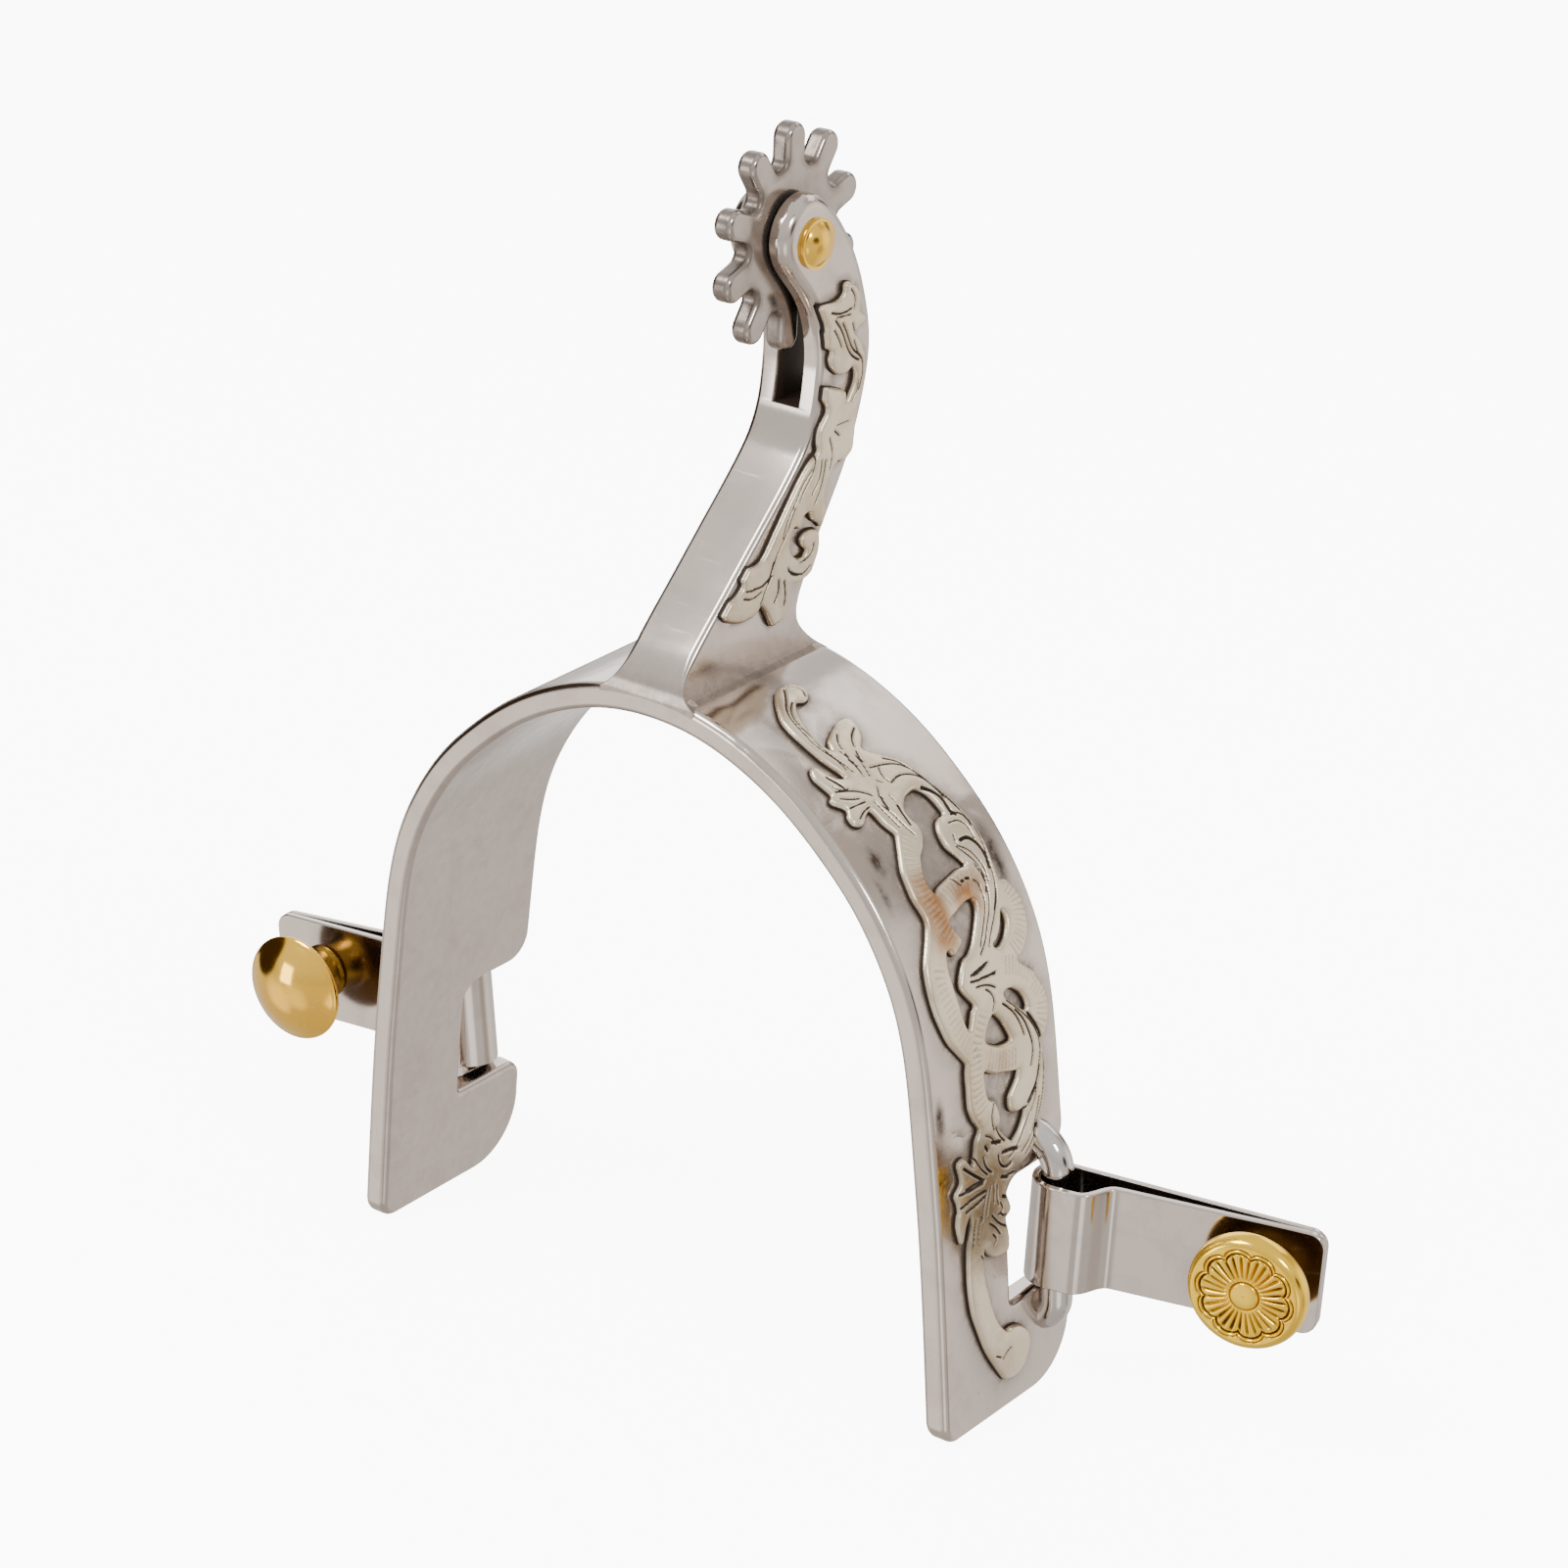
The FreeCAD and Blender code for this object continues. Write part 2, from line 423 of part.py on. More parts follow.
def staple(tilt_deg):
    t = math.radians(tilt_deg)
    up = V(math.sin(t), 0, math.cos(t))
    c = V(BAR_X, BAR_Y, BAR_Z)
    top, bot = c + up * BAR_HALF_UP, c - up * BAR_HALF_DOWN
    edges = [Part.LineSegment(bot, top).toShape()]
    slope = math.atan2(leg_face_x(10) - leg_face_x(30), 20.0)
    inward = V(-math.cos(slope), 0, -math.sin(slope))      # straight into the leg's face

    def foot(p, d, sign):
        # arc that starts along d and ends along inward, its end 1.7 mm under the face
        z0 = p.z + sign * 3.0
        depth = (p.x - leg_face_x(z0)) * math.cos(slope) + 1.7
        ang = math.acos(max(-1, min(1, d.dot(inward))))
        nd = (inward - d * d.dot(inward)).normalize()
        # travel of an arc of radius r along inward is r*(1-cos(ang)) measured on nd and r*sin(ang) on d
        k = nd.dot(inward) * (1 - math.cos(ang)) + d.dot(inward) * math.sin(ang)
        r = max(2.3, depth / k)
        cc = p + nd * r
        def at(a):
            return cc - nd * (r * math.cos(a)) + d * (r * math.sin(a))
        e = [Part.Arc(p, at(ang / 2), at(ang)).toShape()]
        left = depth - r * k
        if left > 0.05:
            e.append(Part.LineSegment(at(ang), at(ang) + inward * left).toShape())
        return e
    up_e = foot(top, up, 1)
    dn_e = foot(bot, up * -1, -1)
    w = Part.Wire(Part.__sortEdges__(dn_e + edges + up_e))
    start = w.OrderedVertexes[0].Point
    e0 = w.OrderedEdges[0]
    tan = e0.tangentAt(e0.FirstParameter)
    circ = Part.Wire(Part.makeCircle(WIRE_D / 2, start, tan))
    s = w.makePipeShell([circ], True, True)
    return s


band_full = heel_band


def mirrored(shape):
    return shape.mirror(V(0, 0, 0), V(1, 0, 0))


staple_out = staple(BAR_TILT_OUT).cut(band_full)
staple_in = mirrored(staple(BAR_TILT_IN)).cut(band_full)


def outside_piece(shape):
    """the piece that carries the hinge bar"""
    return max(shape.Solids, key=lambda s: s.Volume)


outer_hinge_staple = outside_piece(staple_out)
inner_hinge_staple = outside_piece(staple_in)

# ---------------------------------------------------------------- button hangers
def hanger_local():
    """Local frame: origin on the bar, X along the hanger, Y towards the back leaf, Z along the bar."""
    ri = WIRE_D / 2 + LOOP_CLEAR
    ro = ri + STRIP_T
    qf0 = ri - JOGGLE_GAP            # inner surface of the front leaf just past the loop
    jog = Part.BSplineCurve()
    # joggle curve of the inner surface
    jog_pts = [V(JOG_P0, -ri, 0), V(JOG_P0 + 0.9, -ri + 0.20 * (qf0 + ri), 0), V(JOG_P1 - 1.2, -ri + 0.76 * (qf0 + ri), 0), V(JOG_P1, qf0, 0)]
    slope = (ri - qf0) / (CLINCH_P - JOG_P1)
    jog.interpolate(Points=jog_pts, InitialTangent=V(1, 0, 0), FinalTangent=V(1, slope, 0))
    n = 14
    outer_pts = []
    for i in range(n + 1):
        u = jog.FirstParameter + (jog.LastParameter - jog.FirstParameter) * i / n
        p, t = jog.value(u), jog.tangent(u)[0]
        outer_pts.append(p + V(t.y, -t.x, 0) * STRIP_T)
    jog_o = Part.BSplineCurve()
    jog_o.interpolate(Points=outer_pts, InitialTangent=V(1, 0, 0), FinalTangent=V(1, slope, 0))
    # wire of the whole section
    q_out_end = ri - STRIP_T         # outer surface of the front leaf where the leaves touch
    oe = outer_pts[-1]
    kink_o = V(CLINCH_P, q_out_end, 0)
    edges = []
    # outer outline: back leaf outer, end, front leaf outer, joggle outer, loop outer
    a0 = V(0, ro, 0)
    edges.append(Part.LineSegment(a0, V(HANGER_L, ro, 0)).toShape())
    edges.append(Part.LineSegment(V(HANGER_L, ro, 0), V(HANGER_L, q_out_end, 0)).toShape())
    edges.append(Part.LineSegment(V(HANGER_L, q_out_end, 0), kink_o).toShape())
    edges.append(Part.LineSegment(kink_o, oe).toShape())
    edges.append(jog_o.toShape())
    edges.append(Part.LineSegment(outer_pts[0], V(0, -ro, 0)).toShape())
    edges.append(Part.Arc(V(0, -ro, 0), V(-ro, 0, 0), a0).toShape())
    outer_w = Part.Wire(Part.__sortEdges__(edges))
    ed = [Part.Arc(V(0, -ri, 0), V(-ri, 0, 0), V(0, ri, 0)).toShape(),
          Part.LineSegment(V(0, ri, 0), V(CLINCH_P, ri, 0)).toShape(),
          Part.LineSegment(V(CLINCH_P, ri, 0), V(JOG_P1, qf0, 0)).toShape(),
          jog.toShape(),
          Part.LineSegment(V(JOG_P0, -ri, 0), V(0, -ri, 0)).toShape()]
    inner_w = Part.Wire(Part.__sortEdges__(ed))
    f = Part.Face(outer_w).cut(Part.Face(inner_w)).Faces[0]
    f.translate(V(0, 0, -STRIP_W / 2))
    s = f.extrude(V(0, 0, STRIP_W))
    # rounded end corners
    r = 2.0
    for sz in (1, -1):
        cyl = Part.makeCylinder(r, 12, V(HANGER_L - r, -4, sz * (STRIP_W / 2 - r)), V(0, 1, 0))
        bx = Part.makeBox(r + 1, 12, r + 1, V(HANGER_L - r, -4, sz * (STRIP_W / 2 - r) if sz > 0 else -(STRIP_W / 2) - 1))
        s = s.cut(bx.cut(cyl))
    return solid_of(s)


def button_local(kind):
    """Local frame: Z outwards along the button's axis, origin on the hanger's front surface."""
    rad = (BUTTON_OUT_D if kind == "flower" else BUTTON_IN_D) / 2
    NECK_L = NECK_OUT_L if kind == "flower" else NECK_IN_L
    nr = NECK_D / 2
    grip = 2 * STRIP_T
    seat = 0.05                      # the neck starts just under the leaf and is trimmed to it
    if kind == "flower":
        prof = [(0, -grip - TAIL_H), (TAIL_D / 2, -grip - TAIL_H), (TAIL_D / 2, -grip), (RIVET_D / 2, -grip),
                (RIVET_D / 2, seat), (nr + 0.3, seat), (nr + 0.3, 0.8), (nr, 1.3), (nr, NECK_L - 1.0), (nr + 0.8, NECK_L - 0.3), (rad - 0.5, NECK_L + 0.1),
                (rad, NECK_L + 0.5), (rad, NECK_L + 0.9), (rad - 1.3, NECK_L + 2.0), (rad - 2.2, NECK_L + 2.15), (0, NECK_L + 2.3)]
        w = Part.makePolygon([V(x, 0, z) for x, z in prof] + [V(prof[0][0], 0, prof[0][1])])
    else:
        top = NECK_L + 3.6
        pts = [(0, -grip - TAIL_H), (TAIL_D / 2, -grip - TAIL_H), (TAIL_D / 2, -grip), (RIVET_D / 2, -grip),
               (RIVET_D / 2, seat), (nr + 0.3, seat), (nr + 0.3, 0.8), (nr, 1.3), (nr, NECK_L - 1.0), (nr + 0.8, NECK_L - 0.2), (rad - 0.3, NECK_L + 0.3), (rad, NECK_L + 0.7)]
        h = top - (NECK_L + 0.7)
        big = (rad * rad + h * h) / (2 * h)
        am = math.asin(rad / big) / 2
        mid = V(big * math.sin(am), 0, top - big + big * math.cos(am))
        poly = Part.makePolygon([V(x, 0, z) for x, z in pts])
        arc = Part.Arc(V(rad, 0, NECK_L + 0.7), mid, V(0, 0, top)).toShape()
        w = Part.Wire(poly.Edges + [arc, Part.LineSegment(V(0, 0, top), V(0, 0, -grip - TAIL_H)).toShape()])
    return Part.Face(w).revolve(V(0, 0, 0), V(0, 0, 1), 360)


def hanger_set(sign, swing_deg, tilt_deg, zc, button_p, kind):
    """sign +1 outer, -1 inner. Hangers and buttons are made straight in the shared frame."""
    t = math.radians(tilt_deg)
    up = V(sign * math.sin(t), 0, math.cos(t))
    c = V(sign * BAR_X, BAR_Y, BAR_Z) + up * (zc - BAR_Z)
    b = math.radians(swing_deg)
    along = V(sign * math.cos(b), math.sin(b), 0)
    along = (along - up * along.dot(up)).normalize()
    back = up.cross(along) * sign                # towards +Y
    if sign > 0:
        pl = frame_at(c, along, up)              # local Y = up x along = back
        h = hanger_local()
        h.Placement = pl
    else:
        h = hanger_local().mirror(V(0, 0, 0), V(0, 1, 0))
        pl = frame_at(c, along, up)              # local Y = up x along = -back, so the part is mirrored first
        h.Placement = pl.multiply(h.Placement)
    ri = WIRE_D / 2 + LOOP_CLEAR
    base_q = ri - STRIP_T
    o = c + along * button_p + back * base_q
    bt = button_local(kind)
    bt.Placement = frame_at(o, along, back * -1)
    hole = Part.makeCylinder(RIVET_D / 2, 8, o + back * -4, back)
    h = solid_of(h.cut(hole))
    bt = solid_of(bt.cut(h))
    return h, bt, c, up, along, back


outer_button_hanger, outer_button, *fr_out = hanger_set(1, HANGER_OUT_SWING, HANGER_TILT_OUT, HANGER_OUT_Z, BUTTON_OUT_P, "flower")
inner_button_hanger, inner_button, *fr_in = hanger_set(-1, HANGER_IN_SWING, HANGER_TILT_IN, HANGER_IN_Z, BUTTON_IN_P, "plain")
print("outer hinge", [round(v, 4) for v in fr_out[0]], "axis", [round(v, 5) for v in fr_out[1]])
print("inner hinge", [round(v, 4) for v in fr_in[0]], "axis", [round(v, 5) for v in fr_in[1]])

# ---------------------------------------------------------------- scroll overlays
face_pts = offset_points(inner_curve, BAND_T, 600)
crown_i = min(range(len(face_pts)), key=lambda i: abs(face_pts[i].x))
run = [0.0]
for a, b in zip(face_pts[:-1], face_pts[1:]):
    run.append(run[-1] + a.distanceToPoint(b))
run = [run[crown_i] - r for r in run]          # positive towards the outer leg


def on_face(s, y, lift):
    """Point at distance s from the crown along the outer face, lifted off it, with its normal."""
    i = min(range(len(run) - 1), key=lambda k: abs(run[k] - s) if face_pts[k].x > -5 else 1e9)
    i = max(1, min(i, len(run) - 2))
    t = (face_pts[i + 1] - face_pts[i - 1]).normalize()
    nrm = V(t.z, 0, -t.x)
    if nrm.dot(V(face_pts[i].x, 0, face_pts[i].z - 35)) < 0:
        nrm = nrm * -1
    p = face_pts[i] - t * (s - run[i])
    return V(p.x, y, p.z) + nrm * lift, nrm, t * -1


shell = closed_band(BAND_T, BAND_T + OVERLAY_T, -hw, hw)
REGIONS = [(-5.0, 24.5, 16.0), (24.5, 38.0, 31.0), (38.0, 52.5, 45.0), (52.5, 120.0, 76.0)]


def prism(outline, direction, side_y):
    """Straight prism whose walls run along the direction and pass through the outline on the face."""
    pts = []
    for s, y in outline:
        p, n, t = on_face(s, y, OVERLAY_T)
        pts.append(p + direction * (90 - p.dot(direction)))
    w = Part.makePolygon(pts + [pts[0]])
    return Part.Face(w).extrude(direction * -130)


scroll_parts = []
for s0, s1, sm in REGIONS:
    _, direction, _ = on_face(sm, 0, 0)
    body = prism(BAND_SCROLL, direction, 0)
    for hole in (SCROLL_H1, SCROLL_H2, SCROLL_H4, SCROLL_H5, SCROLL_H6, SCROLL_H7):
        body = body.cut(prism(hole, direction, 0))
    # keep only the stretch between the two seam planes
    lo, nlo, tlo = on_face(max(s0, 0.5), 0, 0)
    hi, nhi, thi = on_face(min(s1, 101.0), 0, 0)
    wedge = Part.Wire([Part.LineSegment(lo - nlo * 6, lo + nlo * 6).toShape(),
                       Part.LineSegment(lo + nlo * 6, lo + nlo * 6 + (nlo + nhi).normalize() * 25).toShape(),
                       Part.LineSegment(lo + nlo * 6 + (nlo + nhi).normalize() * 25, hi + nhi * 6 + (nlo + nhi).normalize() * 25).toShape(),
                       Part.LineSegment(hi + nhi * 6 + (nlo + nhi).normalize() * 25, hi + nhi * 6).toShape(),
                       Part.LineSegment(hi + nhi * 6, hi - nhi * 6).toShape(),
                       Part.LineSegment(hi - nhi * 6, lo - nlo * 6).toShape()])
    wf = Part.Face(wedge)
    wf.translate(V(0, -20, 0))
    wf = wf.extrude(V(0, 40, 0))
    piece = shell.common(wf).common(body)
    scroll_parts.append(piece)
band_overlay = scroll_parts[0].fuse(scroll_parts[1:])
band_overlay = band_overlay.cut(outer_hinge_staple)
print("band overlay pieces", [round(k.Volume, 2) for k in band_overlay.Solids])
band_overlay = solid_of(band_overlay)

poly = Part.makePolygon([V(ht, y, z) for y, z in SHANK_SCROLL + SHANK_SCROLL[:1]])
shank_overlay = Part.Face(poly).extrude(V(OVERLAY_T, 0, 0)).common(prof)
print("shank overlay pieces", [round(k.Volume, 2) for k in shank_overlay.Solids])
shank_overlay = solid_of(shank_overlay)

NODES = [("heel_band", heel_band), ("shank", shank), ("shank_overlay", shank_overlay),
         ("band_overlay", band_overlay), ("rowel", rowel), ("rowel_pin", rowel_pin),
         ("outer_hinge_staple", outer_hinge_staple), ("inner_hinge_staple", inner_hinge_staple),
         ("outer_button_hanger", outer_button_hanger), ("inner_button_hanger", inner_button_hanger),
         ("outer_button", outer_button), ("inner_button", inner_button)]
for name, shape in NODES:
    save(name, shape)
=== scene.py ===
import json
import math
import bpy
import numpy as np
from mathutils import Matrix, Vector
from mathutils.geometry import delaunay_2d_cdt

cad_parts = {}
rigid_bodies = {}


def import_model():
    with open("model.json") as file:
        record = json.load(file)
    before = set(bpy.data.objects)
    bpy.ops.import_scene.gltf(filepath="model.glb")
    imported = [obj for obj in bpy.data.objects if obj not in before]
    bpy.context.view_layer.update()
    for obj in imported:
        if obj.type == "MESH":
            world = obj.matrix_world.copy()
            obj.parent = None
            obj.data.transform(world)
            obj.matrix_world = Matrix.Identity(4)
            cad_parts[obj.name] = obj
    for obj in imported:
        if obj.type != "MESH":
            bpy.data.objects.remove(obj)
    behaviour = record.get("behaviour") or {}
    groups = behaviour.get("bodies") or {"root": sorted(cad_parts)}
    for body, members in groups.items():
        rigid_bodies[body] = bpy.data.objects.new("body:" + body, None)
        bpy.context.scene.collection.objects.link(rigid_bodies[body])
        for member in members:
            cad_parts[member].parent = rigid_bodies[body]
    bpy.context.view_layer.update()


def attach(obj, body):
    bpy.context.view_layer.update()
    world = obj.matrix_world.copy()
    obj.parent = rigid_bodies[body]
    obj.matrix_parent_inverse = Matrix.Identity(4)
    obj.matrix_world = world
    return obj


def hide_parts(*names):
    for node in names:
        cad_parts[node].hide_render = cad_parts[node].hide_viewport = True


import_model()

MM = 0.001

# ------------------------------------------------------------------ dimensions, mm
BAND_W, BAND_T = 25.4, 3.2
BAND_IN = [(40.95, 0.0), (40.45, 7.0), (39.93, 14.0), (39.36, 21.0), (38.68, 28.0),
           (37.88, 35.0), (37.10, 41.5), (36.10, 47.6), (34.35, 53.6), (31.62, 59.1),
           (28.12, 64.0), (23.90, 68.25), (18.80, 72.35), (13.00, 75.60), (6.70, 77.75),
           (0.0, 78.45)]
NOTCH_Y, NOTCH_Z0, NOTCH_Z1 = 0.9, 13.0, 27.7
OVERLAY_T = 0.9
PIN_Y, PIN_Z = 11.8, 128.9
ROWEL_R, ROWEL_T, ROWEL_N, ROWEL_PHASE, TOOTH_W, GAP_ROOT = 13.15, 2.5, 10, 15.6, 3.6, 8.6
SHANK_HALF = 4.3
SLOT_HALF, SLOT_Z = 1.75, 108.8
FLARE_R = 4.0
WIRE_R = 1.9
BAR_X, BAR_Y, BAR_Z = 44.5, 7.6, 20.4
STRIP_T, STRIP_W = 0.85, 13.2
LOOP_RI = WIRE_R + 0.68
JOG_P0, JOG_P1 = 3.1, 6.5
ROWEL_SKEW = math.radians(2.5)
HANGER_L, CLINCH_P, JOGGLE_GAP = 31.2, 29.6, 1.7

SHANK_SIDE = [(-12.69, 80.9), (-12.35, 82.2), (-11.55, 83.5), (-10.47, 84.9), (-9.43, 86.1), (-8.3, 87.25),
              (-4.4, 90.85), (-0.5, 94.45), (3.4, 98.05), (6.9, 101.3), (8.7, 103.1), (10.2, 104.8), (11.4, 106.7),
              (12.3, 109.0), (12.85, 111.8), (13.1, 115.0), (12.5, 118.8), (11.1, 121.9),
              (8.95, 124.6), (7.05, 127.0), (6.25, 129.4), (6.9, 132.0), (8.7, 133.8), (11.1, 134.5),
              (13.7, 133.8), (15.9, 131.95), (18.7, 128.4), (21.1, 123.9), (22.5, 119.0), (22.8, 114.2),
              (22.0, 109.6), (20.6, 105.4), (18.6, 101.1), (15.9, 96.9), (13.2, 92.7), (11.0, 88.8), (9.95, 86.3),
              (9.95, 84.3), (10.7, 82.75), (11.5, 81.75), (12.3, 81.0)]

# scroll outlines: (s, y) on the band's outer face, (y, z) on the shank's side
BAND_SCROLL = [(9.75, -1.54), (9.58, 0.61), (10.24, 1.35), (11.17, 1.78), (11.98, 1.65), (12.58, 0.86),
    (12.69, -0.14), (12.36, -0.74), (12.63, -1.44), (13.71, -2.42), (15.26, -3.28), (17.03, -3.83),
    (18.75, -3.90), (19.88, -3.43), (19.13, -3.07), (18.37, -2.38), (17.09, 0.62), (17.03, 2.29),
    (17.84, 2.96), (19.07, 2.67), (20.26, 1.89), (21.23, 0.69), (21.93, 1.19), (23.96, 3.80),
    (25.29, 4.81), (30.28, 7.01), (34.41, 8.18), (37.39, 8.24), (41.21, 7.70), (41.74, 8.66),
    (42.92, 9.51), (44.47, 9.96), (45.98, 9.90), (47.55, 9.45), (49.02, 8.53), (50.05, 7.23),
    (50.48, 6.21), (52.69, 8.77), (53.17, 8.79), (54.81, 9.81), (56.49, 10.26), (58.21, 10.05),
    (59.54, 9.49), (60.46, 8.73), (60.66, 8.14), (62.03, 8.51), (64.23, 8.69), (67.41, 8.14),
    (71.07, 6.69), (72.36, 5.92), (73.40, 4.54), (74.10, 2.98), (74.30, 1.99), (75.89, -0.10),
    (76.49, -0.16), (78.44, 0.48), (79.14, -0.03), (79.34, -0.58), (81.68, -0.11), (83.18, -0.22),
    (83.67, -0.71), (83.57, -1.94), (83.18, -3.32), (82.43, -4.32), (81.58, -4.95), (84.02, -5.05),
    (85.91, -4.82), (90.08, -3.54), (91.91, -2.58), (93.40, -1.23), (93.35, -0.34), (93.65, 1.08),
    (94.59, 2.47), (95.58, 3.14), (96.77, 3.27), (98.15, 2.67), (99.19, 1.91), (99.69, 0.45),
    (99.59, -0.97), (99.14, -2.02), (95.88, -4.36), (93.60, -5.66), (89.04, -7.52), (86.80, -7.98),
    (84.47, -8.21), (80.53, -8.00), (77.59, -7.13), (76.34, -7.19), (77.19, -8.07), (79.24, -9.11),
    (78.09, -9.59), (76.69, -9.81), (75.49, -9.55), (75.24, -9.32), (74.20, -9.42), (73.00, -9.77),
    (71.86, -8.55), (69.63, -8.92), (69.14, -8.25), (69.19, -7.57), (70.67, -6.19), (68.10, -5.29),
    (67.02, -4.50), (65.43, -5.49), (63.63, -6.10), (59.54, -6.04), (58.46, -5.86), (55.29, -8.36),
    (53.33, -9.24), (51.40, -9.80), (49.40, -9.99), (47.50, -9.81), (45.76, -9.25), (41.80, -6.48),
    (38.74, -6.75), (37.02, -6.55), (35.33, -6.11), (31.75, -3.74), (31.17, -3.78), (29.91, -4.37),
    (27.95, -4.80), (28.16, -5.83), (28.88, -7.00), (28.83, -7.86), (28.26, -8.51), (27.43, -8.44),
    (26.50, -7.88), (25.23, -9.14), (24.71, -9.03), (24.28, -8.33), (21.87, -8.83), (20.58, -8.19),
    (20.69, -7.34), (21.93, -6.76), (22.89, -6.02), (23.22, -4.69), (20.15, -5.70), (16.55, -6.01),
    (14.94, -5.85), (13.60, -5.41), (11.28, -3.52)]
SCROLL_H1 = [(28.16, 2.24), (28.16, 3.43), (28.93, 4.27), (30.12, 4.71), (32.06, 4.86), (32.27, 3.61),
    (32.96, 2.77), (34.14, 2.26), (35.50, 2.25), (38.15, 3.70), (38.15, 2.26), (38.90, -2.04),
    (39.33, -3.07), (37.88, -3.44), (36.69, -3.23), (35.17, -2.32), (34.25, -1.10), (33.23, -0.15),
    (32.17, 0.28), (30.96, -0.19), (30.07, -0.31), (29.24, 0.13), (28.52, 1.02)]
SCROLL_H2 = [(42.60, -2.47), (41.80, 0.95), (41.85, 2.15), (42.54, 2.29), (43.83, 1.64), (46.30, -0.48),
    (47.12, -1.73), (47.44, -2.92), (49.89, -4.63), (52.63, -2.92), (53.22, -3.51), (54.97, -4.53),
    (53.86, -5.13), (49.94, -5.71), (47.71, -5.77), (46.36, -5.45), (45.66, -5.09), (45.66, -4.59),
    (46.41, -4.01), (45.49, -2.06), (44.63, -2.13), (43.13, -2.81)]
SCROLL_H4 = [(54.71, -0.02), (55.39, -1.02), (57.01, -2.01), (57.84, -1.14), (58.57, 0.39), (58.77, 1.82),
    (58.57, 2.68), (56.39, 1.65), (55.23, 0.76)]
SCROLL_H5 = [(60.56, -2.82), (61.37, -1.28), (62.58, 2.95), (62.63, 3.58), (63.63, 3.12), (65.13, 1.61),
    (66.32, 1.39), (67.16, 1.81), (67.56, 3.03), (67.51, 4.31), (68.69, 3.97), (69.88, 3.00),
    (70.62, 1.87), (70.67, 1.43), (68.00, -1.00), (67.16, -0.49), (65.73, -0.76), (64.53, -1.46),
    (63.93, -2.42), (62.33, -2.85)]
SCROLL_H6 = [(53.17, 2.50), (52.95, 3.20), (53.11, 4.18), (53.96, 5.39), (55.13, 6.13), (56.07, 6.33),
    (56.39, 5.83), (54.02, 3.08)]
SCROLL_H7 = [(44.47, 5.99), (44.96, 6.31), (46.14, 6.14), (47.33, 5.18), (48.04, 3.98), (47.93, 3.10),
    (47.50, 2.78), (47.23, 3.55), (46.36, 4.64), (45.39, 5.35)]
SHANK_SCROLL = [(16.57, 123.02), (17.25, 123.19), (18.42, 122.63), (19.29, 121.75), (19.65, 120.64),
    (19.47, 119.38), (20.43, 118.55), (20.55, 117.80), (18.62, 116.99), (19.60, 115.86), (20.50, 114.02),
    (20.76, 112.19), (20.49, 110.50), (19.34, 107.58), (18.65, 103.04), (17.75, 102.26), (16.83, 101.78),
    (16.11, 102.28), (14.97, 101.72), (13.85, 100.26), (13.43, 98.90), (13.72, 97.03), (13.30, 95.67),
    (12.86, 95.06), (12.37, 95.71), (11.19, 96.44), (10.70, 97.48), (9.78, 97.45), (9.20, 96.89),
    (8.91, 95.94), (7.97, 96.51), (7.08, 95.74), (6.97, 94.59), (7.46, 93.40), (8.54, 92.54),
    (9.69, 92.43), (10.14, 93.04), (9.28, 93.89), (9.08, 94.70), (9.85, 95.21), (11.00, 95.31),
    (12.40, 94.81), (12.59, 93.20), (12.26, 91.80), (11.60, 90.50), (10.46, 89.80), (8.85, 89.61),
    (7.46, 89.92), (6.55, 89.81), (6.81, 88.69), (6.85, 87.18), (6.19, 86.04), (4.91, 85.69),
    (3.81, 85.74), (2.72, 87.72), (1.70, 88.85), (1.48, 88.50), (0.22, 87.91), (-2.03, 87.88),
    (-4.50, 88.81), (-5.19, 89.91), (-4.31, 90.67), (-2.54, 91.29), (-1.44, 92.13), (-1.91, 93.60),
    (-1.25, 93.99), (1.00, 93.89), (2.34, 94.51), (4.98, 97.55), (7.86, 100.82), (9.41, 102.43),
    (10.75, 103.51), (12.11, 104.30), (11.98, 105.51), (12.26, 106.90), (13.72, 108.69), (13.08, 110.18),
    (12.81, 111.42), (13.26, 111.74), (17.00, 110.33), (17.14, 108.92), (17.95, 109.72), (18.75, 110.97),
    (18.80, 112.13), (18.31, 112.91), (17.39, 112.51), (16.47, 112.41), (15.30, 112.78), (14.34, 113.77),
    (13.99, 114.88), (14.28, 115.67), (12.18, 117.10), (12.70, 117.83), (13.28, 118.25), (13.12, 119.16),
    (12.05, 121.16), (12.27, 121.54), (14.78, 121.37), (15.92, 121.60), (16.50, 122.17)]

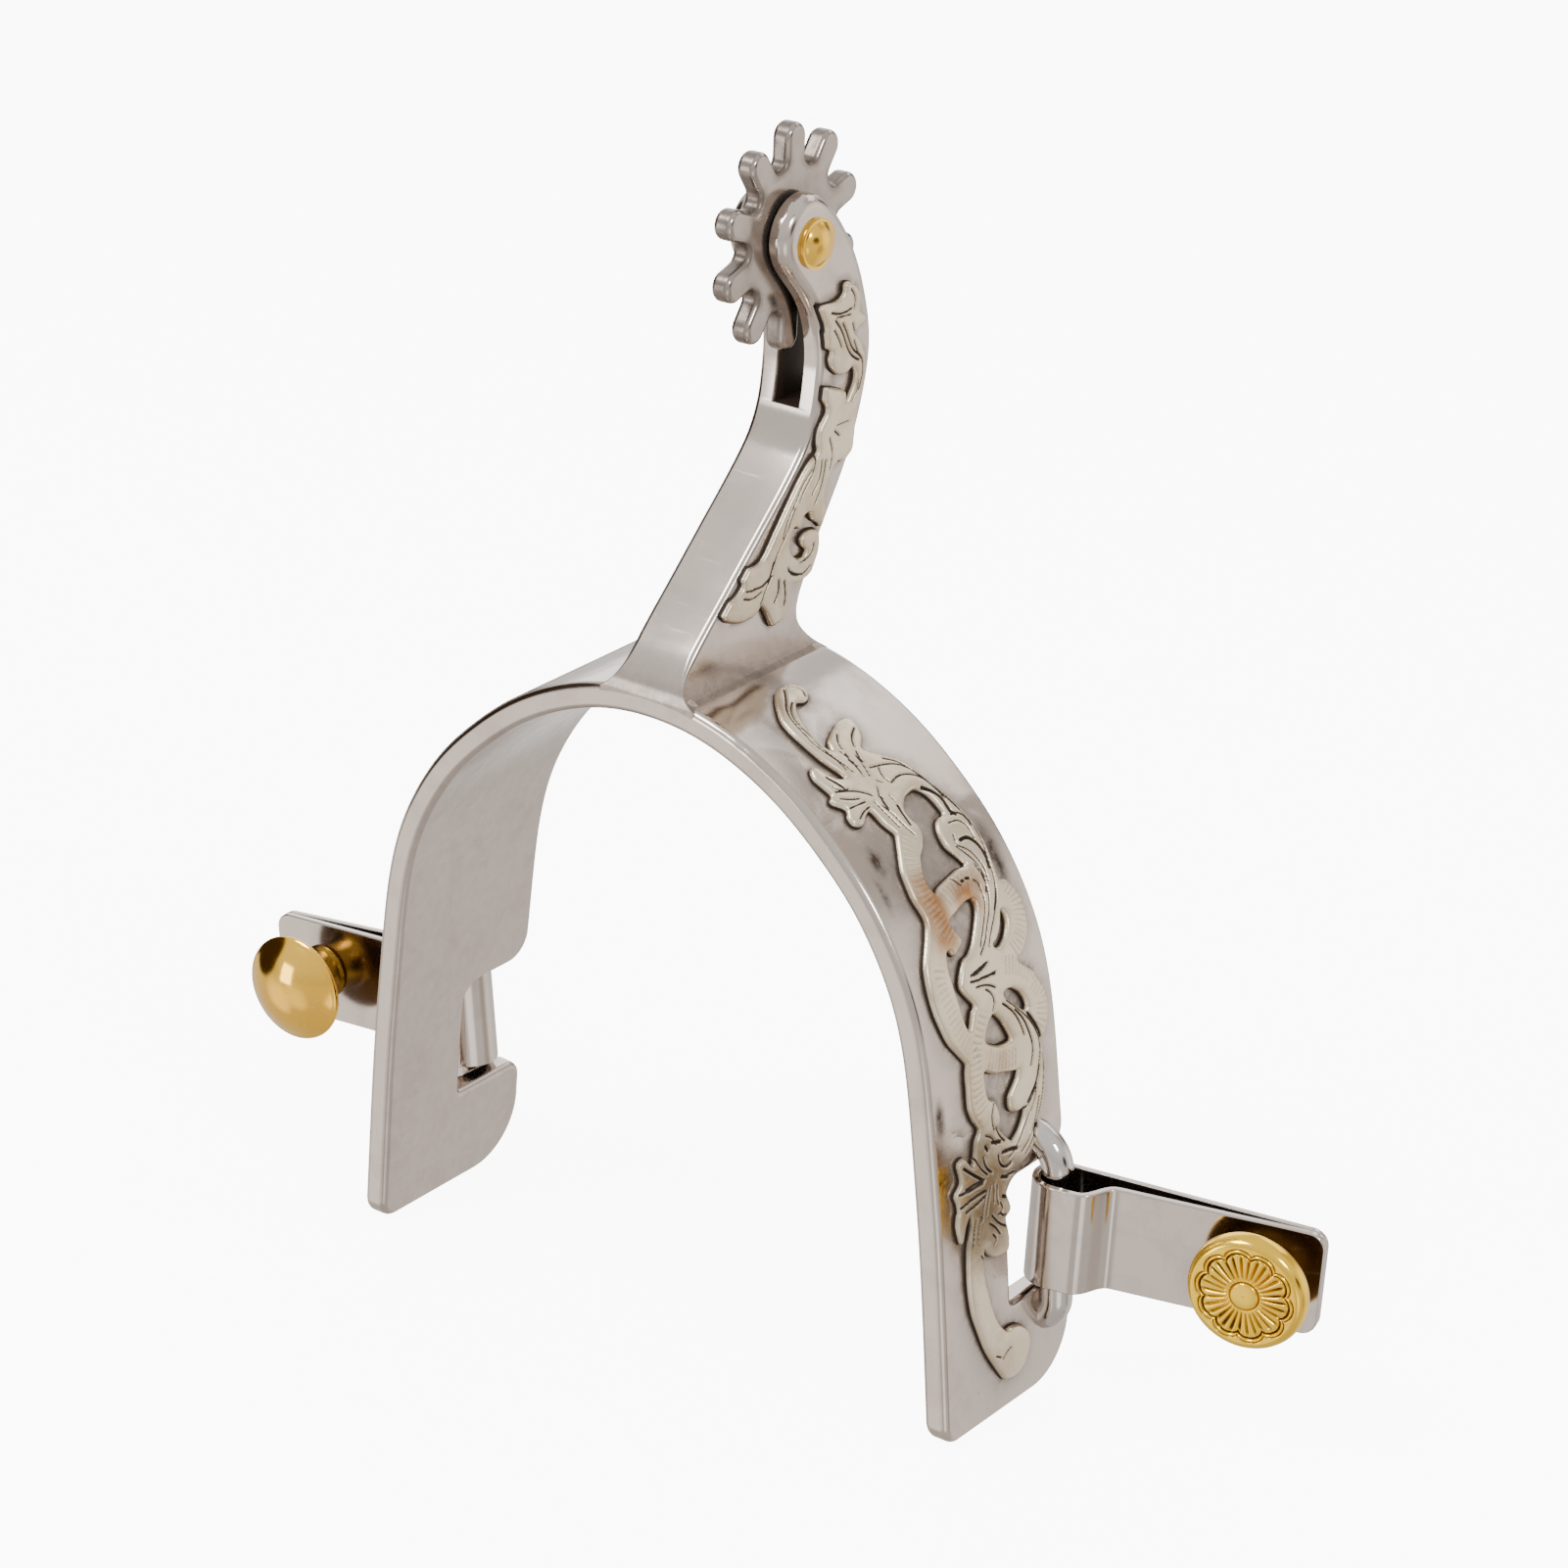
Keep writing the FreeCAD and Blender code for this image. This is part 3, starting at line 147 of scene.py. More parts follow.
# engraved lines: (width, points) and ribbed strips: (half width, pitch, points)
BAND_LINES = [
    (0.16, [(10.02, 0.10), (10.68, 0.85), (11.44, 1.05), (12.25, 0.61)]),
    (0.18, [(10.19, -0.75), (11.60, -2.15), (12.90, -3.60), (14.62, -4.51), (16.55, -4.84), (18.27, -4.93), (19.99, -4.54), (21.33, -4.09), (22.63, -3.98)]),
    (0.16, [(12.25, -1.76), (13.28, -3.27), (15.00, -4.17), (16.92, -4.35), (18.86, -4.42), (20.63, -4.13), (22.14, -3.63), (23.16, -3.39)]),
    (0.16, [(18.64, 2.01), (19.61, 0.42), (20.63, -0.34)]),
    (0.22, [(20.96, -2.21), (21.71, -2.37), (22.30, -2.44)]),
    (0.22, [(21.33, -0.64), (22.03, -0.90), (22.63, -0.98)]),
    (0.16, [(21.76, -2.62), (23.00, -2.37), (24.18, -2.47)]),
    (0.16, [(21.71, -1.19), (23.11, -1.31), (24.49, -1.64)]),
    (0.16, [(20.26, -2.71), (21.55, -2.38), (22.79, -2.14)]),
    (0.16, [(18.37, -0.88), (19.34, -1.81), (20.31, -2.18)]),
    (0.30, [(22.41, -7.31), (23.38, -6.74), (24.23, -6.28)]),
    (0.18, [(24.28, -7.76), (24.86, -5.99), (25.66, -4.43), (26.55, -3.35)]),
    (0.16, [(25.18, -7.87), (25.81, -6.59), (26.18, -5.37)]),
    (0.16, [(26.65, -7.46), (26.70, -6.29), (26.81, -4.85)]),
    (0.16, [(28.21, -7.24), (27.75, -6.19), (27.49, -4.71)]),
    (0.14, [(23.59, -7.60), (24.33, -6.99), (24.60, -5.73)]),
    (0.16, [(23.64, -0.72), (24.02, 1.30), (24.65, 3.06), (25.71, 4.36), (26.60, 5.06)]),
    (0.16, [(24.12, 0.40), (25.18, 0.05), (26.08, 0.34)]),
    (0.16, [(26.29, 0.51), (25.97, 2.03), (26.34, 3.69), (27.33, 5.09), (28.99, 5.87), (30.59, 6.29)]),
    (0.14, [(25.29, -1.25), (25.81, -0.62)]),
    (0.14, [(25.97, -1.77), (27.12, -2.57)]),
    (0.28, [(27.23, -2.29), (28.06, -2.50), (28.62, -2.49)]),
    (0.30, [(28.93, -0.93), (29.97, -0.99), (31.38, -0.99)]),
    (0.16, [(28.16, -3.00), (29.55, -2.40), (31.17, -1.97), (32.65, -1.39)]),
    (0.16, [(27.28, -3.71), (29.19, -3.26), (31.11, -2.75)]),
    (0.14, [(27.43, -1.07), (28.42, -0.85)]),
    (0.18, [(23.38, 2.01), (24.71, 3.79), (26.70, 4.95), (28.52, 5.90), (30.38, 6.50), (32.06, 7.11), (33.82, 7.70), (35.39, 7.90), (36.96, 7.77), (38.42, 7.40), (39.87, 7.09), (41.26, 6.68), (42.76, 5.85), (44.15, 4.73)]),
    (0.16, [(26.13, 4.71), (28.11, 5.93), (30.17, 6.71), (32.43, 7.37), (34.52, 7.68)]),
    (0.34, [(28.37, 4.26), (29.50, 5.34), (31.01, 5.88), (32.43, 5.91), (32.75, 6.26)]),
    (0.18, [(32.59, 5.56), (32.75, 6.66), (33.39, 7.28), (34.68, 7.49)]),
    (0.16, [(33.29, 4.47), (33.66, 6.18), (34.74, 6.84), (36.09, 6.86)]),
    (0.34, [(35.55, 4.65), (35.66, 5.82), (36.26, 6.52), (37.34, 7.02), (38.58, 7.08), (39.66, 6.85)]),
    (0.16, [(34.68, 4.03), (35.82, 3.82), (36.64, 4.72), (38.04, 5.63), (39.44, 5.95), (40.94, 5.69)]),
    (0.16, [(35.93, 3.49), (37.39, 4.52), (38.96, 5.30), (40.57, 5.35), (41.85, 4.63)]),
    (0.16, [(38.53, 4.82), (40.25, 5.17), (42.17, 4.82), (43.88, 3.89), (45.39, 2.53), (46.74, 1.35), (47.71, -0.00)]),
    (0.16, [(40.78, 3.91), (42.33, 3.87), (43.83, 3.08), (45.55, 1.60), (46.90, 0.44)]),
    (0.16, [(41.26, 6.68), (43.02, 5.88), (44.58, 4.47), (46.03, 2.97), (47.39, 1.82)]),
    (0.26, [(39.55, 1.54), (39.60, 1.94)]),
    (0.26, [(39.50, 2.42), (39.66, 2.94)]),
    (0.16, [(40.03, 3.48), (40.73, 3.99), (41.42, 3.87)]),
    (0.16, [(38.69, 0.18), (39.98, 1.24)]),
    (0.22, [(49.29, -2.59), (49.08, -1.07), (48.86, 0.69)]),
    (0.20, [(50.11, -1.10), (50.27, 0.48), (50.32, 1.70)]),
    (0.20, [(49.40, -2.09), (49.29, -0.79), (48.97, 0.39)]),
    (0.20, [(49.89, -2.90), (50.16, -1.38), (50.27, 0.23), (50.43, 1.61)]),
    (0.16, [(50.75, -2.22), (50.97, -0.88), (51.45, 0.38), (51.88, 1.05)]),
    (0.16, [(51.51, -0.68), (52.47, 0.23), (53.38, 0.35), (54.23, -0.10)]),
    (0.20, [(54.07, 1.82), (55.29, 3.16), (56.65, 4.10), (58.00, 4.67), (58.87, 4.94)]),
    (0.22, [(55.55, 3.92), (57.01, 5.08), (58.67, 5.82), (60.41, 6.31), (61.67, 6.23), (62.93, 5.73)]),
    (0.16, [(53.96, 2.67), (55.50, 4.37), (57.38, 6.06), (59.54, 7.37), (61.22, 7.77), (63.13, 7.32), (65.03, 6.69), (66.72, 5.66), (67.76, 4.28)]),
    (0.30, [(56.75, 6.10), (58.31, 7.15), (59.54, 7.79), (60.66, 8.14)]),
    (0.30, [(63.63, 7.26), (65.43, 6.43), (66.37, 5.48), (67.02, 4.78)]),
    (0.16, [(62.48, 8.25), (65.53, 7.99), (67.90, 7.32), (69.88, 6.39), (71.86, 5.33), (73.05, 3.72)]),
    (0.16, [(67.21, 6.88), (69.48, 6.01), (71.36, 4.74), (72.51, 2.93)]),
    (0.16, [(65.03, 6.69), (67.11, 6.04), (68.94, 4.58), (70.27, 3.38), (71.56, 1.97), (72.26, 0.43)]),
    (0.35, [(69.24, -3.84), (69.78, -3.48)]),
    (0.30, [(69.19, -2.59), (69.73, -0.98)]),
    (0.30, [(71.17, -0.71), (71.41, 0.94), (71.76, 2.16)]),
    (0.25, [(71.22, -1.55), (72.01, -1.43), (73.10, -0.08), (72.95, 0.78)]),
    (0.25, [(70.32, -4.37), (71.46, -4.08), (72.70, -2.97)]),
    (0.20, [(69.98, -5.78), (71.51, -4.92), (72.65, -3.79)]),
    (0.30, [(73.95, -1.22), (74.45, -0.01)]),
    (0.20, [(67.76, -1.60), (69.09, -0.91), (69.93, -0.16)]),
    (0.20, [(64.83, -1.70), (66.17, -2.26), (67.86, -2.03)]),
    (0.16, [(67.95, -3.70), (68.69, -2.53), (69.78, -1.82)]),
    (0.25, [(74.15, -0.19), (74.30, 1.48), (74.20, 3.18)]),
    (0.30, [(70.23, -8.07), (71.51, -6.57), (72.85, -4.86)]),
    (0.30, [(72.90, -7.96), (72.90, -6.31), (73.05, -4.46)]),
    (0.25, [(73.05, -9.20), (73.25, -7.17), (73.35, -4.70)]),
    (0.30, [(74.70, -8.97), (74.40, -6.88), (74.40, -4.39)]),
    (0.30, [(75.54, -8.23), (75.34, -6.15), (75.00, -4.45)]),
    (0.20, [(77.79, -5.34), (75.94, -4.75), (74.40, -3.98)]),
    (0.20, [(77.39, -4.47), (75.74, -3.90), (74.15, -3.33)]),
    (0.20, [(76.44, -2.92), (75.14, -2.80), (74.15, -2.70)]),
    (0.20, [(77.04, -2.14), (75.64, -2.22), (74.65, -2.12)]),
    (0.30, [(76.34, -1.24), (76.79, -0.44)]),
    (0.20, [(78.19, -1.82), (78.79, -1.03), (78.84, -0.62)]),
    (0.20, [(76.94, -1.71), (77.89, -1.38), (78.29, -2.25)]),
    (0.20, [(78.64, -3.95), (79.69, -2.78), (80.78, -2.03)]),
    (0.20, [(77.79, -3.46), (79.49, -1.93), (80.29, -0.73)]),
    (0.20, [(80.19, -3.45), (81.23, -2.90), (81.58, -3.34)]),
    (0.16, [(80.19, -7.20), (78.49, -6.85), (77.14, -6.32)]),
    (0.16, [(80.04, -6.35), (78.59, -6.03), (77.19, -5.49)]),
    (0.16, [(82.63, -5.20), (81.88, -5.85)]),
    (0.16, [(95.63, -3.64), (96.12, -2.78)]),
    (0.16, [(95.68, -0.80), (96.07, -1.89), (96.52, -2.44)]),
]
BAND_RIBS = [
    (1.15, 0.62, [(32.70, -2.27), (33.93, -3.42), (35.22, -4.22), (36.96, -4.66), (38.96, -4.87), (40.78, -4.65), (43.02, -4.16), (44.74, -3.45)]),
    (1.20, 0.70, [(40.51, -2.62), (39.82, -0.28), (39.82, 2.19), (40.67, 3.59)]),
    (1.20, 0.62, [(41.80, 8.18), (43.56, 8.86), (45.33, 8.80), (47.06, 8.03), (48.59, 6.63), (49.35, 5.24)]),
    (1.30, 0.62, [(50.05, 3.05), (50.81, 5.24), (52.26, 7.22), (53.65, 8.48), (53.38, 7.89), (55.23, 8.85), (57.01, 8.88), (58.57, 8.17), (59.29, 7.41)]),
    (1.30, 0.62, [(58.93, -2.36), (59.80, -0.63), (60.46, 1.35), (60.86, 3.38)]),
    (1.10, 0.75, [(46.25, -7.19), (48.20, -7.83), (50.21, -7.72), (52.63, -7.19), (55.18, -6.30), (57.48, -4.78), (60.15, -4.49), (62.73, -4.43), (65.08, -3.79)]),
    (1.00, 0.75, [(53.59, -1.78), (55.23, -2.83), (56.86, -3.75), (58.46, -4.22)]),
]
SHANK_LINES = [
    (0.20, [(13.90, 120.39), (15.75, 119.86), (17.59, 120.01)]),
    (0.16, [(14.84, 119.57), (16.23, 119.44), (17.38, 119.35)]),
    (0.20, [(14.62, 119.34), (15.82, 117.87), (16.81, 115.87), (17.79, 114.45), (19.22, 113.48)]),
    (0.20, [(16.02, 118.69), (17.00, 116.98), (18.23, 114.91), (19.68, 113.65), (19.98, 111.81), (19.34, 109.93)]),
    (0.16, [(17.89, 118.20), (18.40, 116.91)]),
    (0.16, [(14.43, 118.24), (15.39, 116.83), (15.89, 115.83)]),
    (0.16, [(18.19, 116.09), (19.19, 114.07)]),
    (0.16, [(17.51, 122.34), (18.25, 121.00), (18.06, 119.89)]),
    (0.14, [(19.30, 111.12), (18.88, 109.76), (17.98, 108.83)]),
    (0.16, [(13.92, 105.56), (14.45, 103.34), (14.04, 101.69)]),
    (0.14, [(15.27, 106.65), (16.20, 106.68), (17.36, 106.65)]),
    (0.14, [(14.82, 106.18), (15.78, 105.33)]),
    (0.20, [(11.66, 104.14), (10.80, 102.03), (9.46, 100.65), (8.58, 99.43)]),
    (0.20, [(12.60, 103.28), (12.20, 101.33), (10.87, 99.65)]),
    (0.20, [(13.30, 103.08), (12.69, 100.60), (12.03, 99.31), (11.37, 98.32)]),
    (0.16, [(10.78, 102.62), (8.99, 101.08), (7.67, 99.41), (6.34, 97.74), (5.48, 95.93)]),
    (0.20, [(7.68, 98.81), (6.37, 96.55), (5.05, 94.87), (3.73, 93.20), (2.86, 91.40)]),
    (0.20, [(4.60, 94.42), (3.73, 92.91), (2.85, 91.69), (1.51, 91.22), (0.15, 91.34)]),
    (0.20, [(3.72, 93.50), (3.08, 91.92), (1.96, 91.38)]),
    (0.20, [(3.53, 91.93), (2.42, 90.64), (1.55, 89.13)]),
    (0.25, [(4.78, 91.10), (4.72, 89.63), (4.06, 88.64)]),
    (0.25, [(5.84, 90.63), (6.11, 88.90), (5.91, 87.77)]),
    (0.16, [(6.49, 92.06), (6.97, 91.32), (8.36, 90.60), (9.75, 90.62), (10.66, 91.09)]),
    (0.16, [(6.50, 91.76), (7.90, 90.89), (9.29, 90.46)]),
    (0.16, [(8.79, 91.96), (10.16, 92.14), (11.07, 92.76), (11.28, 93.59)]),
    (0.16, [(-1.63, 90.72), (-0.28, 90.29), (1.52, 90.62)]),
    (0.16, [(-1.20, 91.47), (0.60, 91.20), (1.96, 91.38)]),
]

# coppery spots and brown tarnish on the overlay, and stains on the band: ((s, y), radius along s, radius along y, strength)
COPPER_SPOTS = [((41.8, -4.6), 4.4, 2.2, 1.0), ((38.4, -4.3), 2.4, 1.8, 0.8), ((41.2, 1.2), 2.1, 2.3, 1.0), ((40.6, 3.4), 1.6, 1.5, 0.7), ((60.5, 0.5), 1.6, 1.0, 0.4)]
TARNISH = [((72.0, -4.5), 5.5, 5.0, 0.75), ((78.5, -5.5), 4.5, 4.0, 0.75), ((97.0, -3.0), 2.5, 3.0, 0.25), ((14.0, -3.6), 3.5, 1.2, 0.35)]
BAND_STAINS = [((70.5, -11.2), 3.5, 0.9, 0.85), ((75.5, -10.2), 3.2, 1.0, 0.7), ((79.0, -9.6), 2.2, 0.8, 0.5), ((68.0, -9.3), 2.0, 0.7, 0.4)]
# soft dark patches painted on the band's outer face: painted reflections of dark surroundings and painted shade
PAINTED_DARK_REFLECTIONS = [((8.0, 0.3), 3.2, 1.5, 0.45), ((14.4, -6.3), 3.0, 1.2, 0.50), ((33.2, -8.2), 2.4, 1.2, 0.9), ((36.6, -10.0), 2.2, 0.5, 0.8),
               ((35.5, -6.2), 6.0, 3.0, 0.46), ((38.5, 9.4), 4.6, 1.3, 0.85), ((33.0, 7.6), 2.6, 1.1, 0.7), ((63.5, -10.8), 2.2, 0.8, 0.9), ((22.0, -9.6), 4.0, 0.7, 0.35)]
NODE_SLOT = {}


# ------------------------------------------------------------------ geometry helpers
def spline(pts, n):
    """Natural cubic spline through pts by chord length. Returns n+1 points and unit tangents."""
    p = np.array(pts, float)
    d = np.r_[0, np.cumsum(np.linalg.norm(np.diff(p, axis=0), axis=1))]
    m = len(p)
    h = np.diff(d)
    a = np.zeros((m, m))
    b = np.zeros((m, p.shape[1]))
    a[0, 0] = a[-1, -1] = 1
    for i in range(1, m - 1):
        a[i, i - 1], a[i, i], a[i, i + 1] = h[i - 1], 2 * (h[i - 1] + h[i]), h[i]
        b[i] = 6 * ((p[i + 1] - p[i]) / h[i] - (p[i] - p[i - 1]) / h[i - 1])
    k = np.linalg.solve(a, b)
    t = np.linspace(0, d[-1], n + 1)
    i = np.clip(np.searchsorted(d, t, side="right") - 1, 0, m - 2)
    x = (t - d[i])[:, None]
    hh = h[i][:, None]
    out = (k[i] * (hh - x) ** 3 + k[i + 1] * x ** 3) / (6 * hh) + (p[i] / hh - k[i] * hh / 6) * (hh - x) \
        + (p[i + 1] / hh - k[i + 1] * hh / 6) * x
    tan = np.gradient(out, axis=0)
    tan /= np.linalg.norm(tan, axis=1)[:, None]
    return out, tan


def rounded(corners, arc_step=0.28, edge_step=0.8):
    """Closed outline, counter-clockwise, from (x, y, radius) corners."""
    out = []
    n = len(corners)
    c = [np.array(q[:2], float) for q in corners]
    for i in range(n):
        p, r = c[i], corners[i][2]
        a, b = c[i - 1] - p, c[(i + 1) % n] - p
        a /= np.linalg.norm(a)
        b /= np.linalg.norm(b)
        ang = math.acos(max(-1, min(1, float(a @ b))))
        dd = r / math.tan(ang / 2)
        s, e = p + a * dd, p + b * dd
        cc = p + (a + b) / np.linalg.norm(a + b) * (r / math.sin(ang / 2))
        a0 = math.atan2(*(s - cc)[::-1])
        a1 = math.atan2(*(e - cc)[::-1])
        da = (a1 - a0 + math.pi) % (2 * math.pi) - math.pi
        k = max(4, int(abs(da) * r / arc_step))
        if out:
            seg = s - out[-1]
            m = int(np.linalg.norm(seg) / edge_step)
            for j in range(1, m + 1):
                out.append(out[-1] if False else s - seg * (1 - j / (m + 1)))
        for j in range(k + 1):
            t = a0 + da * j / k
            out.append(cc + r * np.array([math.cos(t), math.sin(t)]))
    seg = out[0] - out[-1]
    m = int(np.linalg.norm(seg) / edge_step)
    last = out[-1]
    for j in range(1, m + 1):
        out.append(last + seg * (j / (m + 1)))
    o = np.array(out)
    keep = np.linalg.norm(o - np.roll(o, 1, axis=0), axis=1) > 1e-5
    return o[keep]


def outward(o):
    """Unit outward normals of a closed counter-clockwise outline."""
    t = np.roll(o, -1, axis=0) - np.roll(o, 1, axis=0)
    t /= np.linalg.norm(t, axis=1)[:, None]
    return np.c_[t[:, 1], -t[:, 0]]


def in_poly(pts, poly):
    x, y = pts[:, 0], pts[:, 1]
    c = np.zeros(len(pts), bool)
    a, b = poly, np.roll(poly, -1, axis=0)
    for i in range(len(poly)):
        (x0, y0), (x1, y1) = a[i], b[i]
        if y0 == y1:
            continue
        hit = ((y0 > y) != (y1 > y)) & (x < (x1 - x0) * (y - y0) / (y1 - y0) + x0)
        c ^= hit
    return c


def seg_dist(pts, line, closed=False):
    """Distance from each point to a polyline, and the running length at the nearest point."""
    a = np.array(line, float)
    b = np.roll(a, -1, axis=0) if closed else a[1:]
    a = a if closed else a[:-1]
    best = np.full(len(pts), 1e9)
    arc = np.zeros(len(pts))
    run = 0.0
    for p, q in zip(a, b):
        d = q - p
        l2 = float(d @ d)
        if l2 < 1e-12:
            continue
        t = np.clip(((pts - p) @ d) / l2, 0, 1)
        r = np.linalg.norm(pts - (p + t[:, None] * d), axis=1)
        w = r < best
        best[w] = r[w]
        arc[w] = run + t[w] * math.sqrt(l2)
        run += math.sqrt(l2)
    return best, arc


def mesh_object(name, verts, faces, normals=None, attrs=None):
    me = bpy.data.meshes.new(name)
    vv = np.array([tuple(float(c) for c in v) for v in verts])
    vol = 0.0
    for f in faces:
        a = vv[f[0]]
        for i in range(1, len(f) - 1):
            vol += float(a @ np.cross(vv[f[i]], vv[f[i + 1]]))
    if vol < 0:
        faces = [tuple(reversed(f)) for f in faces]
    me.from_pydata([tuple(v * MM) for v in vv], [], [tuple(int(i) for i in f) for f in faces])
    me.polygons.foreach_set("use_smooth", [True] * len(me.polygons))
    me.validate()
    if attrs:
        for key, val in attrs.items():
            at = me.attributes.new(key, "FLOAT", "POINT")
            at.data.foreach_set("value", np.asarray(val, np.float32))
    if normals is not None:
        me.normals_split_custom_set_from_vertices([tuple(float(c) for c in n) for n in normals])
    me.update()
    ob = bpy.data.objects.new(name, me)
    bpy.context.scene.collection.objects.link(ob)
    return ob


def plate(name, loops, t, r_bot, r_top, place, fill=(1.0, 1.0), steps=5, extra=None, attr=None, wobble=None):
    """A plate with rounded rims. loops: closed outlines in (u, v), the outside one counter-clockwise and the
    holes clockwise. place(u, v, h) gives points and the directions of u, v and h there."""
    uv, hh, nu, nh, faces = [], [], [], [], []
    first_rings, last_rings = [], []
    base = 0
    for lp in loops:
        o = np.array(lp)
        nrm = outward(o)
        m = len(o)
        rb = r_bot(o) if callable(r_bot) else np.full(m, r_bot)
        rt = r_top(o) if callable(r_top) else np.full(m, r_top)
        prof = []
        for j in range(steps + 1):
            a = math.pi / 2 * j / steps
            prof.append((rb * (1 - math.sin(a)), rb * (1 - math.cos(a)), -math.cos(a), math.sin(a)))
        for j in range(steps + 1):
            a = math.pi / 2 * j / steps
            prof.append((rt * (1 - math.cos(a)), t - rt + rt * math.sin(a), math.sin(a), math.cos(a)))
        for k, (inset, h, sz, sr) in enumerate(prof):
            uv.append(o - nrm * inset[:, None])
            hh.append(h)
            nu.append(nrm * sr)
            nh.append(np.full(m, sz))
        for k in range(len(prof) - 1):
            for i in range(m):
                a, b = base + k * m + i, base + k * m + (i + 1) % m
                faces.append((a, b, b + m, a + m))
        first_rings.append(list(range(base, base + m)))
        last_rings.append(list(range(base + (len(prof) - 1) * m, base + len(prof) * m)))
        base += len(prof) * m
    uv = np.concatenate(uv)
    hh = np.concatenate(hh)
    nu = np.concatenate(nu)
    nh = np.concatenate(nh)
    for rings, h, sz, flip in ((first_rings, 0.0, -1.0, True), (last_rings, t, 1.0, False)):
        pts = np.concatenate([uv[r] for r in rings])
        idx = sum(rings, [])
        edges, off = [], 0
        for r in rings:
            m = len(r)
            edges += [(off + i, off + (i + 1) % m) for i in range(m)]
            off += m
        inner = np.zeros((0, 2))
        if fill:
            lo, hi = pts.min(0), pts.max(0)
            gx = np.arange(lo[0] + fill[0] / 2, hi[0], fill[0])
            gy = np.arange(lo[1] + fill[1] / 2, hi[1], fill[1])
            g = np.stack(np.meshgrid(gx, gy), -1).reshape(-1, 2)
            g[:, 0] += 0.11 * fill[0] * np.sin(g[:, 1] * 7.1)
            if extra is not None:
                g = np.concatenate([g, extra])
            ok = in_poly(g, uv[rings[0]])
            for r in rings[1:]:
                ok &= ~in_poly(g, uv[r])
            g = g[ok]
            for r in rings:
                d, _ = seg_dist(g, uv[r], True)
                g = g[d > 0.3 * min(fill)]
            inner = g
        allp = np.concatenate([pts, inner]) if len(inner) else pts
        vo, _, fo, ov, _, _ = delaunay_2d_cdt([Vector(p) for p in allp], edges, [], 0, 1e-6)
        n0 = len(uv)
        new_uv, remap = [], {}
        for i, src in enumerate(ov):
            s = [q for q in src if q < len(pts)]
            if s:
                remap[i] = idx[s[0]]
            else:
                remap[i] = n0 + len(new_uv)
                new_uv.append(vo[i])
        tri = [f for f in fo if len(set(remap[q] for q in f)) == len(f)]
        cen = np.array([[sum(vo[q][0] for q in f) / len(f), sum(vo[q][1] for q in f) / len(f)] for f in tri])
        ok = in_poly(cen, uv[rings[0]])
        for r in rings[1:]:
            ok &= ~in_poly(cen, uv[r])
        if new_uv:
            new_uv = np.array([(v[0], v[1]) for v in new_uv])
            uv = np.concatenate([uv, new_uv])
            hh = np.r_[hh, np.full(len(new_uv), h)]
            nu = np.concatenate([nu, np.zeros((len(new_uv), 2))])
            nh = np.r_[nh, np.full(len(new_uv), sz)]
        for f, k in zip(tri, ok):
            if not k:
                continue
            g = [remap[q] for q in f]
            area = sum(uv[g[i]][0] * uv[g[(i + 1) % len(g)]][1] - uv[g[(i + 1) % len(g)]][0] * uv[g[i]][1] for i in range(len(g)))
            if (area < 0) != flip:
                g = g[::-1]
            faces.append(tuple(g))
    if wobble is not None:
        hh = wobble(uv, hh, nh)
    pos, du, dv, dh = place(uv[:, 0], uv[:, 1], hh)
    nrm = du * nu[:, :1] + dv * nu[:, 1:] + dh * nh[:, None]
    nrm /= np.linalg.norm(nrm, axis=1)[:, None]
    return mesh_object(name, pos, faces, nrm, attr(uv, hh) if attr else None)


def lathe(name, prof, origin, axis, xdir, seg=96, closed_ends=True, rough=None, attr=None):
    """Turned part: prof is (radius, height) from bottom to top along axis."""
    z = np.array(axis, float)
    z /= np.linalg.norm(z)
    x = np.array(xdir, float)
    x -= z * (x @ z)
    x /= np.linalg.norm(x)
    y = np.cross(z, x)
    v, f = [], []
    o = np.array(origin, float)
    rings = []
    for r, h in prof:
        if r < 1e-6:
            rings.append([len(v)])
            v.append(o + z * h)
        else:
            ring = []
            for k in range(seg):
                a = 2 * math.pi * k / seg
                ring.append(len(v))
                rr, hh = r, h
                if rough:
                    rr, hh = rough(r, h, a)
                v.append(o + z * hh + (x * math.cos(a) + y * math.sin(a)) * rr)
            rings.append(ring)
    for p, q in zip(rings[:-1], rings[1:]):
        if len(p) == 1 and len(q) > 1:
            f += [(p[0], q[(k + 1) % seg], q[k]) for k in range(seg)]
        elif len(q) == 1 and len(p) > 1:
            f += [(p[k], p[(k + 1) % seg], q[0]) for k in range(seg)]
        elif len(p) > 1:
            f += [(p[k], p[(k + 1) % seg], q[(k + 1) % seg], q[k]) for k in range(seg)]
    if len(rings[0]) > 1:
        f.append(tuple(reversed(rings[0])))
    if len(rings[-1]) > 1:
        f.append(tuple(rings[-1]))
    ob = mesh_object(name, v, f)
    ob.data.set_sharp_from_angle(angle=math.radians(50))
    return ob


